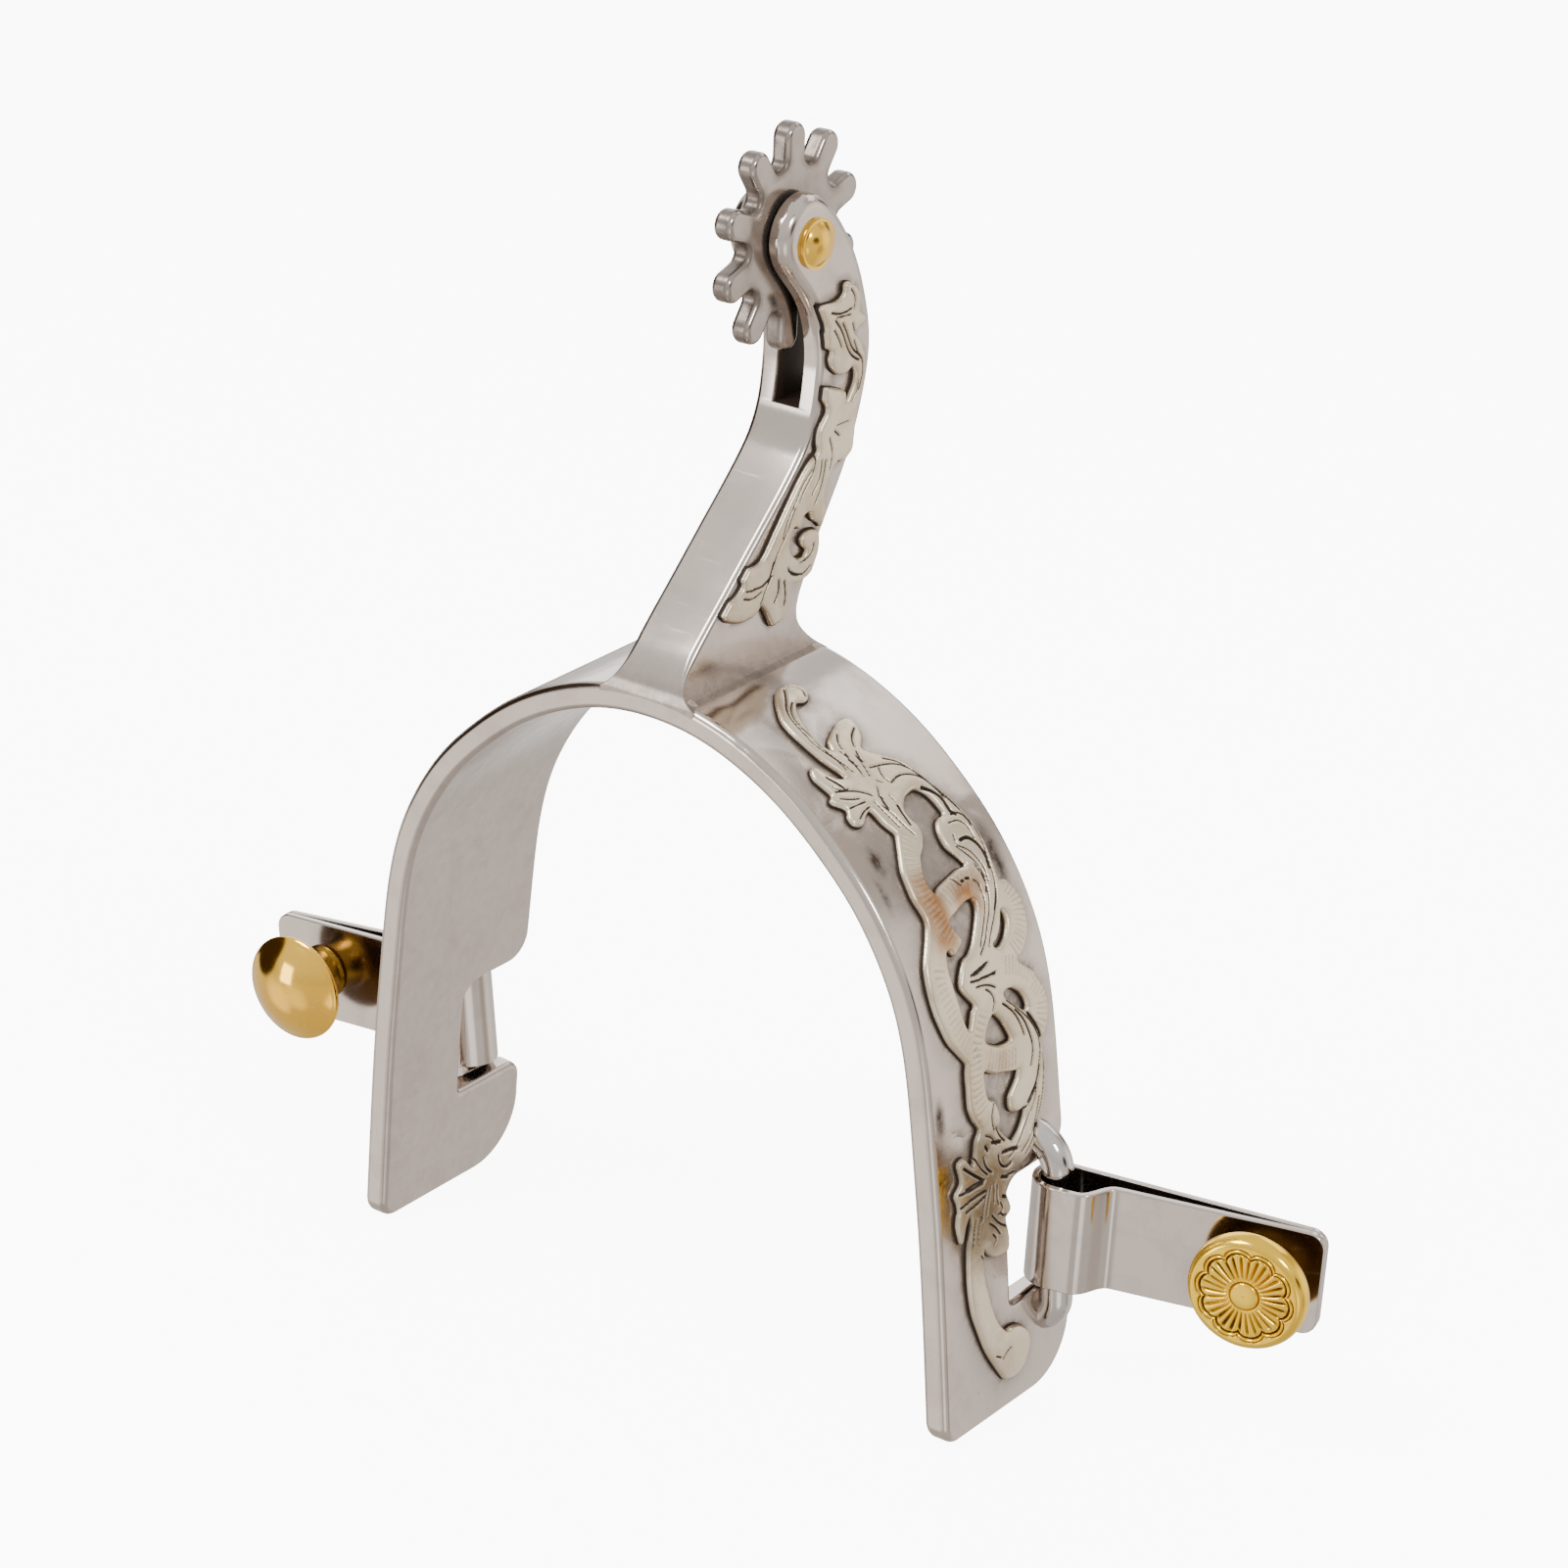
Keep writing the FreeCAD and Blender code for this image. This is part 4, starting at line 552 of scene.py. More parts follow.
def arc_profile(points, steps=6):
    """Rounds the corners of a turned profile: points are (r, h, corner radius)."""
    out = []
    for i, q in enumerate(points):
        p = np.array(q[:2], float)
        r = q[2] if len(q) > 2 else 0
        if r <= 0 or i == 0 or i == len(points) - 1:
            out.append(tuple(p))
            continue
        a, b = np.array(points[i - 1][:2]) - p, np.array(points[i + 1][:2]) - p
        la, lb = np.linalg.norm(a), np.linalg.norm(b)
        a, b = a / la, b / lb
        ang = math.acos(max(-1, min(1, float(a @ b))))
        if ang > math.pi - 0.03:
            out.append(tuple(p))
            continue
        d = min(r / math.tan(ang / 2), 0.49 * la, 0.49 * lb)
        rr = d * math.tan(ang / 2)
        cc = p + (a + b) / np.linalg.norm(a + b) * (rr / math.sin(ang / 2))
        s, e = p + a * d - cc, p + b * d - cc
        a0 = math.atan2(s[1], s[0])
        da = (math.atan2(e[1], e[0]) - a0 + math.pi) % (2 * math.pi) - math.pi
        for j in range(steps + 1):
            t = a0 + da * j / steps
            out.append((cc[0] + rr * math.cos(t), cc[1] + rr * math.sin(t)))
    return out


def relief(name, loops, grid, height, place, skirt=0.4, sink=0.12, edge=0.35, attrs=None, keep=None):
    """Raised plate with a carved top. loops: outlines in (u, v). The rim is cut where the softened distance to the
    outline crosses zero.
    """
    polys = [np.array(l, float) for l in loops]
    allp = np.concatenate(polys)
    lo, hi = allp.min(0) - 3 * grid, allp.max(0) + 3 * grid
    nx, ny = int((hi[0] - lo[0]) / grid) + 1, int((hi[1] - lo[1]) / grid) + 1
    gx, gy = lo[0] + grid * np.arange(nx), lo[1] + grid * np.arange(ny)
    g = np.stack(np.meshgrid(gx, gy, indexing="ij"), -1).reshape(-1, 2)
    dist = np.full(len(g), 1e9)
    inside = in_poly(g, polys[0])
    for p in polys:
        d, _ = seg_dist(g, p, True)
        dist = np.minimum(dist, d)
    for p in polys[1:]:
        inside &= ~in_poly(g, p)
    sd = np.where(inside, dist, -dist).reshape(nx, ny)
    if keep is not None:
        sd = np.minimum(sd, keep(g).reshape(nx, ny))
    sd[np.abs(sd) < 1e-4] = 1e-4
    # soften the raw outline a little so the rim runs smoothly
    for _ in range(2):
        s2 = sd.copy()
        s2[1:-1, 1:-1] = (sd[1:-1, 1:-1] * 4 + sd[:-2, 1:-1] + sd[2:, 1:-1] + sd[1:-1, :-2] + sd[1:-1, 2:]) / 8
        sd = s2
    ins = sd > 0
    vid = -np.ones((nx, ny), int)
    verts = []
    for i, j in zip(*np.nonzero(ins)):
        vid[i, j] = len(verts)
        verts.append((gx[i], gy[j], sd[i, j]))
    cut = {}

    def cross(i, j, k, l):
        key = (i, j, k, l) if (i, j) < (k, l) else (k, l, i, j)
        if key not in cut:
            a, b = sd[key[0], key[1]], sd[key[2], key[3]]
            t = min(0.96, max(0.04, a / (a - b)))
            cut[key] = len(verts)
            verts.append((gx[key[0]] + t * (gx[key[2]] - gx[key[0]]), gy[key[1]] + t * (gy[key[3]] - gy[key[1]]), 0.0))
        return cut[key]

    faces, rim = [], []
    cnt = ins[:-1, :-1].astype(int) + ins[1:, :-1] + ins[1:, 1:] + ins[:-1, 1:]
    for i, j in zip(*np.nonzero(cnt)):
        c = [(i, j), (i + 1, j), (i + 1, j + 1), (i, j + 1)]
        st = [bool(ins[q]) for q in c]
        if all(st):
            faces.append(tuple(vid[q] for q in c))
            continue
        if st == [True, False, True, False] or st == [False, True, False, True]:
            for k in range(4):
                if st[k]:
                    p, q, r = c[k - 1], c[k], c[(k + 1) % 4]
                    a, b = cross(*q, *r), cross(*p, *q)
                    faces.append((vid[q], a, b))
                    rim.append((a, b))
            continue
        poly, ex, en = [], None, None
        for k in range(4):
            q, r = c[k], c[(k + 1) % 4]
            if st[k]:
                poly.append(vid[q])
            if st[k] != st[(k + 1) % 4]:
                x = cross(*q, *r)
                poly.append(x)
                if st[k]:
                    ex = x
                else:
                    en = x
        faces.append(tuple(poly))
        rim.append((ex, en))
    verts = np.array(verts)
    uv, s = verts[:, :2], verts[:, 2]
    gsx, gsy = np.gradient(sd, grid)
    h, shade = height(uv, s)
    # rounded upper edge
    e = np.clip(s / edge, 0, 1)
    drop = 1 - np.sqrt(np.clip(1 - (1 - e) ** 2, 0, 1))
    h = h - drop * edge * 0.9
    rim_ids = sorted(set(sum(rim, ())))
    k = {r: n for n, r in enumerate(rim_ids)}
    ru = uv[rim_ids]
    ci = np.clip(((ru - lo) / grid).astype(int), 0, [nx - 2, ny - 2])
    grd = np.stack([gsx[ci[:, 0], ci[:, 1]], gsy[ci[:, 0], ci[:, 1]]], 1)
    grd /= np.maximum(np.linalg.norm(grd, axis=1), 1e-6)[:, None]
    rings = [(0.03, None), (0.05, 0.16), (skirt * 0.45, 0.05), (skirt, -sink)]
    n0 = len(verts)
    us, hs, sh = [uv], [h], [shade]
    rim_h = h[rim_ids]
    for out, hv in rings:
        us.append(ru - grd * out)
        hs.append(np.full(len(ru), hv) if hv is not None else rim_h - 0.14)
        # the rim and side walls get a low relief value and are painted dark: oxide plus painted shade
        sh.append(np.zeros(len(ru)) if out > 0.04 else np.full(len(ru), 0.35))
    nr = len(rim_ids)
    for a, b in rim:
        ia, ib = k[a], k[b]
        prev_a, prev_b = a, b
        for m in range(len(rings)):
            ca, cb = n0 + m * nr + ia, n0 + m * nr + ib
            faces.append((prev_b, prev_a, ca, cb))
            prev_a, prev_b = ca, cb
    uv = np.concatenate(us)
    h = np.concatenate(hs)
    shade = np.concatenate(sh)
    # close the back: the same net, one level down
    nt = len(verts)
    back = np.arange(nt)
    uvb = np.concatenate([uv, verts[:, :2]])
    hb = np.r_[h, np.full(nt, -sink)]
    shb = np.r_[shade, np.zeros(nt)]
    off = len(uv)
    last = n0 + (len(rings) - 1) * nr
    for fce in list(faces[:]):
        if max(fce) < n0:
            faces.append(tuple(off + q for q in reversed(fce)))
    for a, b in rim:
        ia, ib = k[a], k[b]
        faces.append((last + ib, last + ia, off + a, off + b))
    pos, _, _, _ = place(uvb[:, 0], uvb[:, 1], hb)
    at = {"relief": shb}
    if attrs:
        at.update(attrs(uvb, hb))
    return mesh_object(name, pos, faces, None, at)


def noise2(p, scale, seed):
    """Smooth deterministic noise in -1..1 made of a few sines."""
    r = np.random.RandomState(seed)
    out = np.zeros(len(p))
    for k in range(9):
        w = r.normal(size=p.shape[1]) * scale * (0.6 + 0.5 * k)
        out += np.sin(p @ w + r.uniform(0, 6.28)) / (1 + 0.55 * k)
    return out / 3.0


def finish_mesh(ob, angle=38, weighted=True):
    ob.data.set_sharp_from_angle(angle=math.radians(angle))
    if weighted:
        m = ob.modifiers.new("weighted", "WEIGHTED_NORMAL")
        m.keep_sharp = True
        m.weight = 60


def boolean(ob, cutter, op="DIFFERENCE"):
    m = ob.modifiers.new("cut", "BOOLEAN")
    m.operation, m.solver, m.object = op, "EXACT", cutter
    dg = bpy.context.evaluated_depsgraph_get()
    dg.update()
    me = bpy.data.meshes.new_from_object(ob.evaluated_get(dg))
    ob.modifiers.remove(m)
    old = ob.data
    ob.data = me
    bpy.data.meshes.remove(old)
    bpy.data.objects.remove(cutter)
    ob.data.polygons.foreach_set("use_smooth", [True] * len(ob.data.polygons))
    return ob


def join(objs):
    """Joins meshes into the first one, without operators."""
    base = objs[0]
    verts, faces, off = [], [], 0
    names = set()
    for o in objs:
        names |= {a.name for a in o.data.attributes if a.data_type == "FLOAT" and a.domain == "POINT" and a.name in ("relief", "stain", "copper")}
    vals = {n: [] for n in names}
    sharp = []
    for o in objs:
        me = o.data
        verts += [tuple(v.co) for v in me.vertices]
        faces += [tuple(off + i for i in p.vertices) for p in me.polygons]
        for n in names:
            a = me.attributes.get(n)
            vals[n] += [d.value for d in a.data] if a else [0.0] * len(me.vertices)
        off += len(me.vertices)
    me = bpy.data.meshes.new(base.name)
    me.from_pydata(verts, [], faces)
    me.polygons.foreach_set("use_smooth", [True] * len(me.polygons))
    for n in names:
        at = me.attributes.new(n, "FLOAT", "POINT")
        at.data.foreach_set("value", np.asarray(vals[n], np.float32))
    me.update()
    old = [o.data for o in objs]
    base.data = me
    for o in objs[1:]:
        bpy.data.objects.remove(o)
    return base


# ------------------------------------------------------------------ band
_in, _tan = spline(BAND_IN + [(-x, z) for x, z in BAND_IN[-2::-1]], 3000)
_nrm = np.c_[_tan[:, 1], -_tan[:, 0]]
_nrm *= np.sign((_nrm * (_in - [0, 35])).sum(1))[:, None]
_out = _in + _nrm * BAND_T
_run = np.r_[0, np.cumsum(np.linalg.norm(np.diff(_out, axis=0), axis=1))]
_run = _run[np.argmin(abs(_out[:, 0]))] - _run          # + towards the outer leg
_order = np.argsort(_run)
_rs, _is, _ns = _run[_order], _in[_order], _nrm[_order]
S_END = float(_rs[-1])


def band_point(s, y, h):
    """s along the outer face from the crown, h up from the inner face."""
    s, y, h = np.asarray(s, float), np.asarray(y, float), np.asarray(h, float)
    sc = np.clip(s, _rs[0], _rs[-1])
    ix, iz = np.interp(sc, _rs, _is[:, 0]), np.interp(sc, _rs, _is[:, 1])
    nx, nz = np.interp(sc, _rs, _ns[:, 0]), np.interp(sc, _rs, _ns[:, 1])
    # level the last millimetres so that the tips are flat
    k = np.clip((9.0 - iz) / 9.0, 0, 1)
    k = k * k * (3 - 2 * k)
    px = nx * (1 - k) + np.sign(nx) / np.maximum(abs(nx), 0.3) * k
    pz = nz * (1 - k)
    pos = np.stack([ix + px * h, y, iz + pz * h], 1)
    n = np.stack([nx, np.zeros_like(nx), nz], 1)
    t = np.stack([nz, np.zeros_like(nx), -nx], 1)      # direction of growing s
    v = np.stack([np.zeros_like(nx), np.ones_like(nx), np.zeros_like(nx)], 1)
    return pos, t, v, n


def s_at(z):
    """distance along the outer face where the outer leg reaches height z"""
    m = _rs > 40
    zz = (_is + _ns * BAND_T)[:, 1][m]
    return float(np.interp(-z, -zz, _rs[m]))


HW = BAND_W / 2
s0, s1 = s_at(NOTCH_Z0), s_at(NOTCH_Z1 + 0.28)
corners = [(-S_END, -HW, 2.6), (S_END, -HW, 2.6), (S_END, HW, 8.0), (s0, HW, 2.2), (s0, NOTCH_Y, 0.5),
           (s1, NOTCH_Y, 2.6), (s1, HW, 3.6), (-s1, HW, 3.6), (-s1, NOTCH_Y, 2.6), (-s0, NOTCH_Y, 0.5),
           (-s0, HW, 2.2), (-S_END, HW, 8.0)]
band_outline = rounded(corners, 0.25, 0.75)
loops_scroll = [np.array(BAND_SCROLL)] + [np.array(h) for h in (SCROLL_H1, SCROLL_H2, SCROLL_H4, SCROLL_H5, SCROLL_H6, SCROLL_H7)]


def orient(lp, ccw=True):
    a = np.array(lp, float)
    area = (a[:, 0] * np.roll(a[:, 1], -1) - np.roll(a[:, 0], -1) * a[:, 1]).sum()
    return a if (area > 0) == ccw else a[::-1]


def smooth_loop(lp, step=0.25):
    """Closed Catmull-Rom curve through the points, evenly sampled."""
    a = np.array(lp, float)
    out = []
    n = len(a)
    for i in range(n):
        p0, p1, p2, p3 = a[i - 1], a[i], a[(i + 1) % n], a[(i + 2) % n]
        m = max(2, int(np.linalg.norm(p2 - p1) / step))
        # sharp turns stay sharper
        for j in range(m):
            t = j / m
            c1, c2 = (p2 - p0) * 0.42, (p3 - p1) * 0.42
            l = np.linalg.norm(p2 - p1)
            for c in (c1, c2):
                q = np.linalg.norm(c)
                if q > l:
                    c *= l / q
            out.append((2 * t ** 3 - 3 * t ** 2 + 1) * p1 + (t ** 3 - 2 * t ** 2 + t) * c1 + (-2 * t ** 3 + 3 * t ** 2) * p2 + (t ** 3 - t ** 2) * c2)
    return np.array(out)


scroll = [smooth_loop(l) for l in loops_scroll]


def band_attr(uv, hh):
    """dark marks around and inside the scrollwork on the outer face: patina in the holes, a dark line along the
    overlay's edge that is partly patina and partly painted shade, a broad grey zone round it that is painted shade,
    painted dark reflections, and painted shade over the inner face
    """
    st = np.zeros(len(uv))
    m = (uv[:, 0] > 4) & (hh > BAND_T * 0.8)
    p = uv[m]
    ins = in_poly(p, scroll[0])
    d = np.full(len(p), 1e9)
    for l in scroll:
        dd, _ = seg_dist(p, l, True)
        d = np.minimum(d, dd)
    hole = np.zeros(len(p), bool)
    for l in scroll[1:]:
        hole |= in_poly(p, l)
    # a dark line hugging the overlay's edge: patina and painted shade
    val = np.exp(-(d / 0.52) ** 2) * 0.95
    val = np.maximum(val, np.where(hole, 0.50 + 0.42 * np.exp(-(d / 0.55) ** 2), 0))
    # a broad grey zone round the overlay: painted shade
    val = np.maximum(val, 0.36 * np.exp(-(d / 1.6) ** 2))
    # painted dark reflections and painted shade on the outer face
    for (a, b), ra, rb, k in PAINTED_DARK_REFLECTIONS:
        val = np.maximum(val, 1.25 * k * np.exp(-(((p[:, 0] - a) / ra) ** 2 + ((p[:, 1] - b) / rb) ** 2) ** 1.6))
    val = np.where(ins & ~hole, 0.8, val)
    st[m] = val
    # the inner face is darkened all over: painted shade
    st[hh < BAND_T * 0.25] = 0.19
    tint, warp = np.zeros(len(uv)), np.zeros(len(uv))
    top = hh > BAND_T * 0.6
    for (a, b), ra, rb, k in BAND_STAINS:
        tint = np.maximum(tint, np.where(top, k * np.exp(-((uv[:, 0] - a) / ra) ** 2 - ((uv[:, 1] - b) / rb) ** 2), 0))
    warp[m] = np.exp(-(d / 2.6) ** 2)
    return {"stain": st, "tarnish": tint, "warp": warp}


gx = np.arange(6, S_END - 2, 0.55)
gy = np.arange(-11.3, 11.4, 0.55)
fine = np.stack(np.meshgrid(gx, gy), -1).reshape(-1, 2)


def band_wobble(uv, hh, nh):
    # the faces are ground by hand: a few hundredths of a millimetre of unevenness
    n = noise2(uv * [1, 1], 0.16, 5) * 0.018 + noise2(uv, 0.45, 6) * 0.004
    return hh - np.clip(np.abs(n), 0, 0.04) * np.sign(nh) * (np.abs(nh) > 0.9)


band = plate("band", [band_outline], BAND_T, 0.85, 0.9, band_point, fill=(0.95, 1.25), steps=5,
             extra=fine if len(fine) else None, attr=band_attr, wobble=None)
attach(band, "band"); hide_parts("heel_band")


# ------------------------------------------------------------------ shank
def crown_z(x):
    m = _out[:, 1] > 60
    return float(np.interp(x, _out[m][:, 0][::-1], _out[m][:, 1][::-1]))


ZF = crown_z(SHANK_HALF + FLARE_R) - 0.02
CZ = ZF + FLARE_R


def shank_half(z):
    d = np.clip(CZ - z, 0, FLARE_R)
    w = SHANK_HALF + FLARE_R - np.sqrt(np.maximum(FLARE_R ** 2 - d ** 2, 0))
    return np.where(z < ZF + 0.35, np.minimum(w, SHANK_HALF + 2.43), w)


side, _ = spline(SHANK_SIDE, 420)
foot = [(12.1, 80.2), (11.9, 79.6), (-12.3, 79.3), (-12.69, 79.8)]
fp = []
prev = side[-1]
for q in foot + [tuple(side[0])]:
    q = np.array(q, float)
    m = max(1, int(np.linalg.norm(q - prev) / 0.6))
    for j in range(1, m + 1):
        fp.append(prev + (q - prev) * j / m)
    prev = q
side_outline = orient(np.concatenate([side, np.array(fp[:-1])]), True)


def shank_point(u, v, h):
    hx = shank_half(v)
    x = (h / SHANK_HALF - 1) * hx
    pos = np.stack([x, u, v], 1)
    # the weld at the foot is uneven
    w = np.clip((84.0 - v) / 2.6, 0, 1)
    n = noise2(pos, 1.9, 11) * 0.10 + noise2(pos, 4.0, 12) * 0.05
    pos[:, 0] += np.sign(x) * w * n * 0.35 * (abs(x) > 3)
    o = np.ones_like(u)
    z = np.zeros_like(u)
    return pos, np.stack([z, o, z], 1), np.stack([z, z, o], 1), np.stack([o, z, z], 1)


gx = np.arange(-12.5, 13.5, 0.45)
gy = np.arange(80.0, 88.0, 0.4)
foot_grid = np.stack(np.meshgrid(gx, gy), -1).reshape(-1, 2)
def ear_radius(o):
    """the edges are broken more and more towards the fork's ears"""
    k = np.clip((o[:, 1] - 113.0) / 10.0, 0, 1)
    low = np.clip((o[:, 1] - 82.2) / 4.0, 0, 1)
    return (0.78 + 0.75 * k * k * (3 - 2 * k)) * (0.15 + 0.85 * low * low * (3 - 2 * low))


shank = plate("shank", [side_outline], SHANK_HALF * 2, ear_radius, ear_radius, shank_point, fill=(1.3, 1.3), steps=5, extra=foot_grid)
# fork slot, with a small chamfer along its edges
slot_loops = []
cut_v, cut_f = [], []
o_n = outward(side_outline)
levels = [(-1.2, 2.9), (0.0, 1.98), (0.28, 1.72)]
m = len(side_outline)
for inset, hw_ in levels:
    ring = side_outline - o_n * inset
    for sx in (1, -1):
        pass
rings = [side_outline - o_n * i for i, _ in levels]
cut_v = []
for (i, w), r in zip(levels, rings):
    cut_v += [(w, a, b) for a, b in r]
for (i, w), r in zip(levels[::-1], rings[::-1]):
    cut_v += [(-w, a, b) for a, b in r]
# outer rim joins +X to -X side; cap both inner rings
n = m
for lv in range(2):
    for i in range(n):
        a, b = lv * n + i, lv * n + (i + 1) % n
        cut_f.append((a + n, b + n, b, a))
for lv in range(3, 5):
    for i in range(n):
        a, b = lv * n + i, lv * n + (i + 1) % n
        cut_f.append((a + n, b + n, b, a))
for i in range(n):
    a, b = i, (i + 1) % n
    cut_f.append((a, b, 5 * n + b, 5 * n + a))
cut_f.append(tuple(range(2 * n, 3 * n)))
cut_f.append(tuple(reversed(range(3 * n, 4 * n))))
cutter = mesh_object("cutter", cut_v, cut_f)
half_v = [(x, y, z) for x in (-9, 9) for y in (-40, 60) for z in (SLOT_Z, 150)]
half_f = [(0, 1, 3, 2), (4, 6, 7, 5), (0, 4, 5, 1), (2, 3, 7, 6), (0, 2, 6, 4), (1, 5, 7, 3)]
upper = mesh_object("upper", half_v, half_f)
for o in (cutter, upper):
    bm_n = o.data
import bmesh
for o in (cutter, upper, shank):
    b = bmesh.new()
    b.from_mesh(o.data)
    bmesh.ops.recalc_face_normals(b, faces=b.faces)
    if b.calc_volume(signed=True) < 0:
        bmesh.ops.reverse_faces(b, faces=b.faces)
    b.to_mesh(o.data)
    b.free()
cutter = boolean(cutter, upper, "INTERSECT")
shank = boolean(shank, cutter)
finish_mesh(shank, 32)
# the fork's slot is left unpolished and painted dark inside: painted shade in the narrow gap
vx = np.array([tuple(v.co) for v in shank.data.vertices]) / MM
slot_shade = np.where((abs(vx[:, 0]) < SLOT_HALF + 0.06) & (vx[:, 2] > SLOT_Z - 0.3), 2.0, 0.0)
# darker towards the foot where the shank meets the band: painted shade
foot_shade = np.clip((86.0 - vx[:, 2]) / 4.5, 0, 1) * 0.42
vy = vx[:, 1:]
near = np.full(len(vx), 9.0)
dd, _ = seg_dist(vy, smooth_loop(SHANK_SCROLL), True)
# a dark line round the scroll overlay on the +X face: patina and painted shade
scroll_edge_patina_and_shade = np.where(vx[:, 0] > SHANK_HALF - 0.2, 0.75 * np.exp(-(dd / 0.45) ** 2), 0)
at = shank.data.attributes.new("stain", "FLOAT", "POINT")
at.data.foreach_set("value", np.maximum(np.maximum(slot_shade, foot_shade), scroll_edge_patina_and_shade).astype(np.float32))
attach(shank, "band"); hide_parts("shank")


# ------------------------------------------------------------------ scroll overlays
def carve(uv, s, lines, ribs, depth_k=1.0):
    h = np.zeros(len(uv))
    shade = np.ones(len(uv))
    g = np.zeros(len(uv))
    for w, line in lines:
        line = np.array(line, float)
        lo, hi = line.min(0) - 1, line.max(0) + 1
        m = (uv >= lo).all(1) & (uv <= hi).all(1)
        if not m.any():
            continue
        sm = line
        if len(line) > 2:
            sm, _ = spline(line, len(line) * 5)
        d, arc = seg_dist(uv[m], sm)
        ww = w * 0.85
        v = np.clip(1 - d / ww, 0, 1)
        g[m] = np.maximum(g[m], v * (0.20 + 0.9 * w))
    for hw_, pitch, line in ribs:
        line = np.array(line, float)
        sm, _ = spline(line, len(line) * 6)
        d, arc = seg_dist(uv, sm)
        m = (d < hw_) & (arc > arc.min() + 0.02) & (arc < arc.max() - 0.02)
        fade = np.clip((hw_ - d) / 0.25, 0, 1)
        cut = np.clip(np.cos(2 * math.pi * arc / pitch) * 1.5 - 0.75, 0, 1)
        g = np.maximum(g, np.where(m, cut * 0.11 * fade, 0))
    h -= g * depth_k
    shade = 1 - np.clip(g / 0.20, 0, 1)
    return h, shade


def band_height(uv, s):
    h, shade = carve(uv, s, BAND_LINES, BAND_RIBS)
    # gently domed strands
    dome = np.clip(s / 1.3, 0, 1)
    base = BAND_T + OVERLAY_T - 0.14 * (1 - dome) ** 2 - 0.03 * np.abs(noise2(uv, 0.9, 3))
    return base + h - BAND_T, shade


def on_band(u, v, h):
    return band_point(u, v, BAND_T + np.asarray(h))


def copper(uv, hh):
    out = []
    for table in (COPPER_SPOTS, TARNISH):
        c = np.zeros(len(uv))
        for (a, b), ra, rb, k in table:
            c = np.maximum(c, k * np.exp(-((uv[:, 0] - a) / ra) ** 4 - ((uv[:, 1] - b) / rb) ** 4))
        out.append(c)
    return {"copper": out[0], "tarnish": out[1]}


GRID = 0.13


def clear_of_staple(g):
    """the scrollwork is notched round the hinge wire's upper foot"""
    sz = s_at(32.2)
    d = np.sqrt(((g[:, 0] - sz) / 1.15) ** 2 + (g[:, 1] - BAR_Y) ** 2) - (WIRE_R + 0.12)
    return d


overlay = relief("band_scroll", scroll, GRID, band_height, on_band, skirt=0.2, sink=0.10, attrs=copper, keep=clear_of_staple)
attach(overlay, "band"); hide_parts("band_overlay")


def shank_height(uv, s):
    h, shade = carve(uv, s, SHANK_LINES, [])
    dome = np.clip(s / 1.2, 0, 1)
    return OVERLAY_T - 0.12 * (1 - dome) ** 2 - 0.03 * np.abs(noise2(uv, 0.9, 8)) + h, shade


def on_shank(u, v, h):
    h = np.asarray(h)
    z, o = np.zeros_like(h), np.ones_like(h)
    return np.stack([SHANK_HALF + h, u, v], 1), np.stack([z, o, z], 1), np.stack([z, z, o], 1), np.stack([o, z, z], 1)


side_in = side_outline


def inside_shank(g):
    d, _ = seg_dist(g, side_in, True)
    return np.where(in_poly(g, side_in), d, -d) - 0.42


shank_loop = [smooth_loop(SHANK_SCROLL)]
s_overlay = relief("shank_scroll", shank_loop, GRID, shank_height, on_shank, skirt=0.2, sink=0.08, keep=inside_shank,
                   attrs=lambda uv, hh: {"copper": np.zeros(len(uv)), "tarnish": np.clip((100 - uv[:, 1]) / 40, 0, 0.25)})
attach(s_overlay, "band"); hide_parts("shank_overlay")


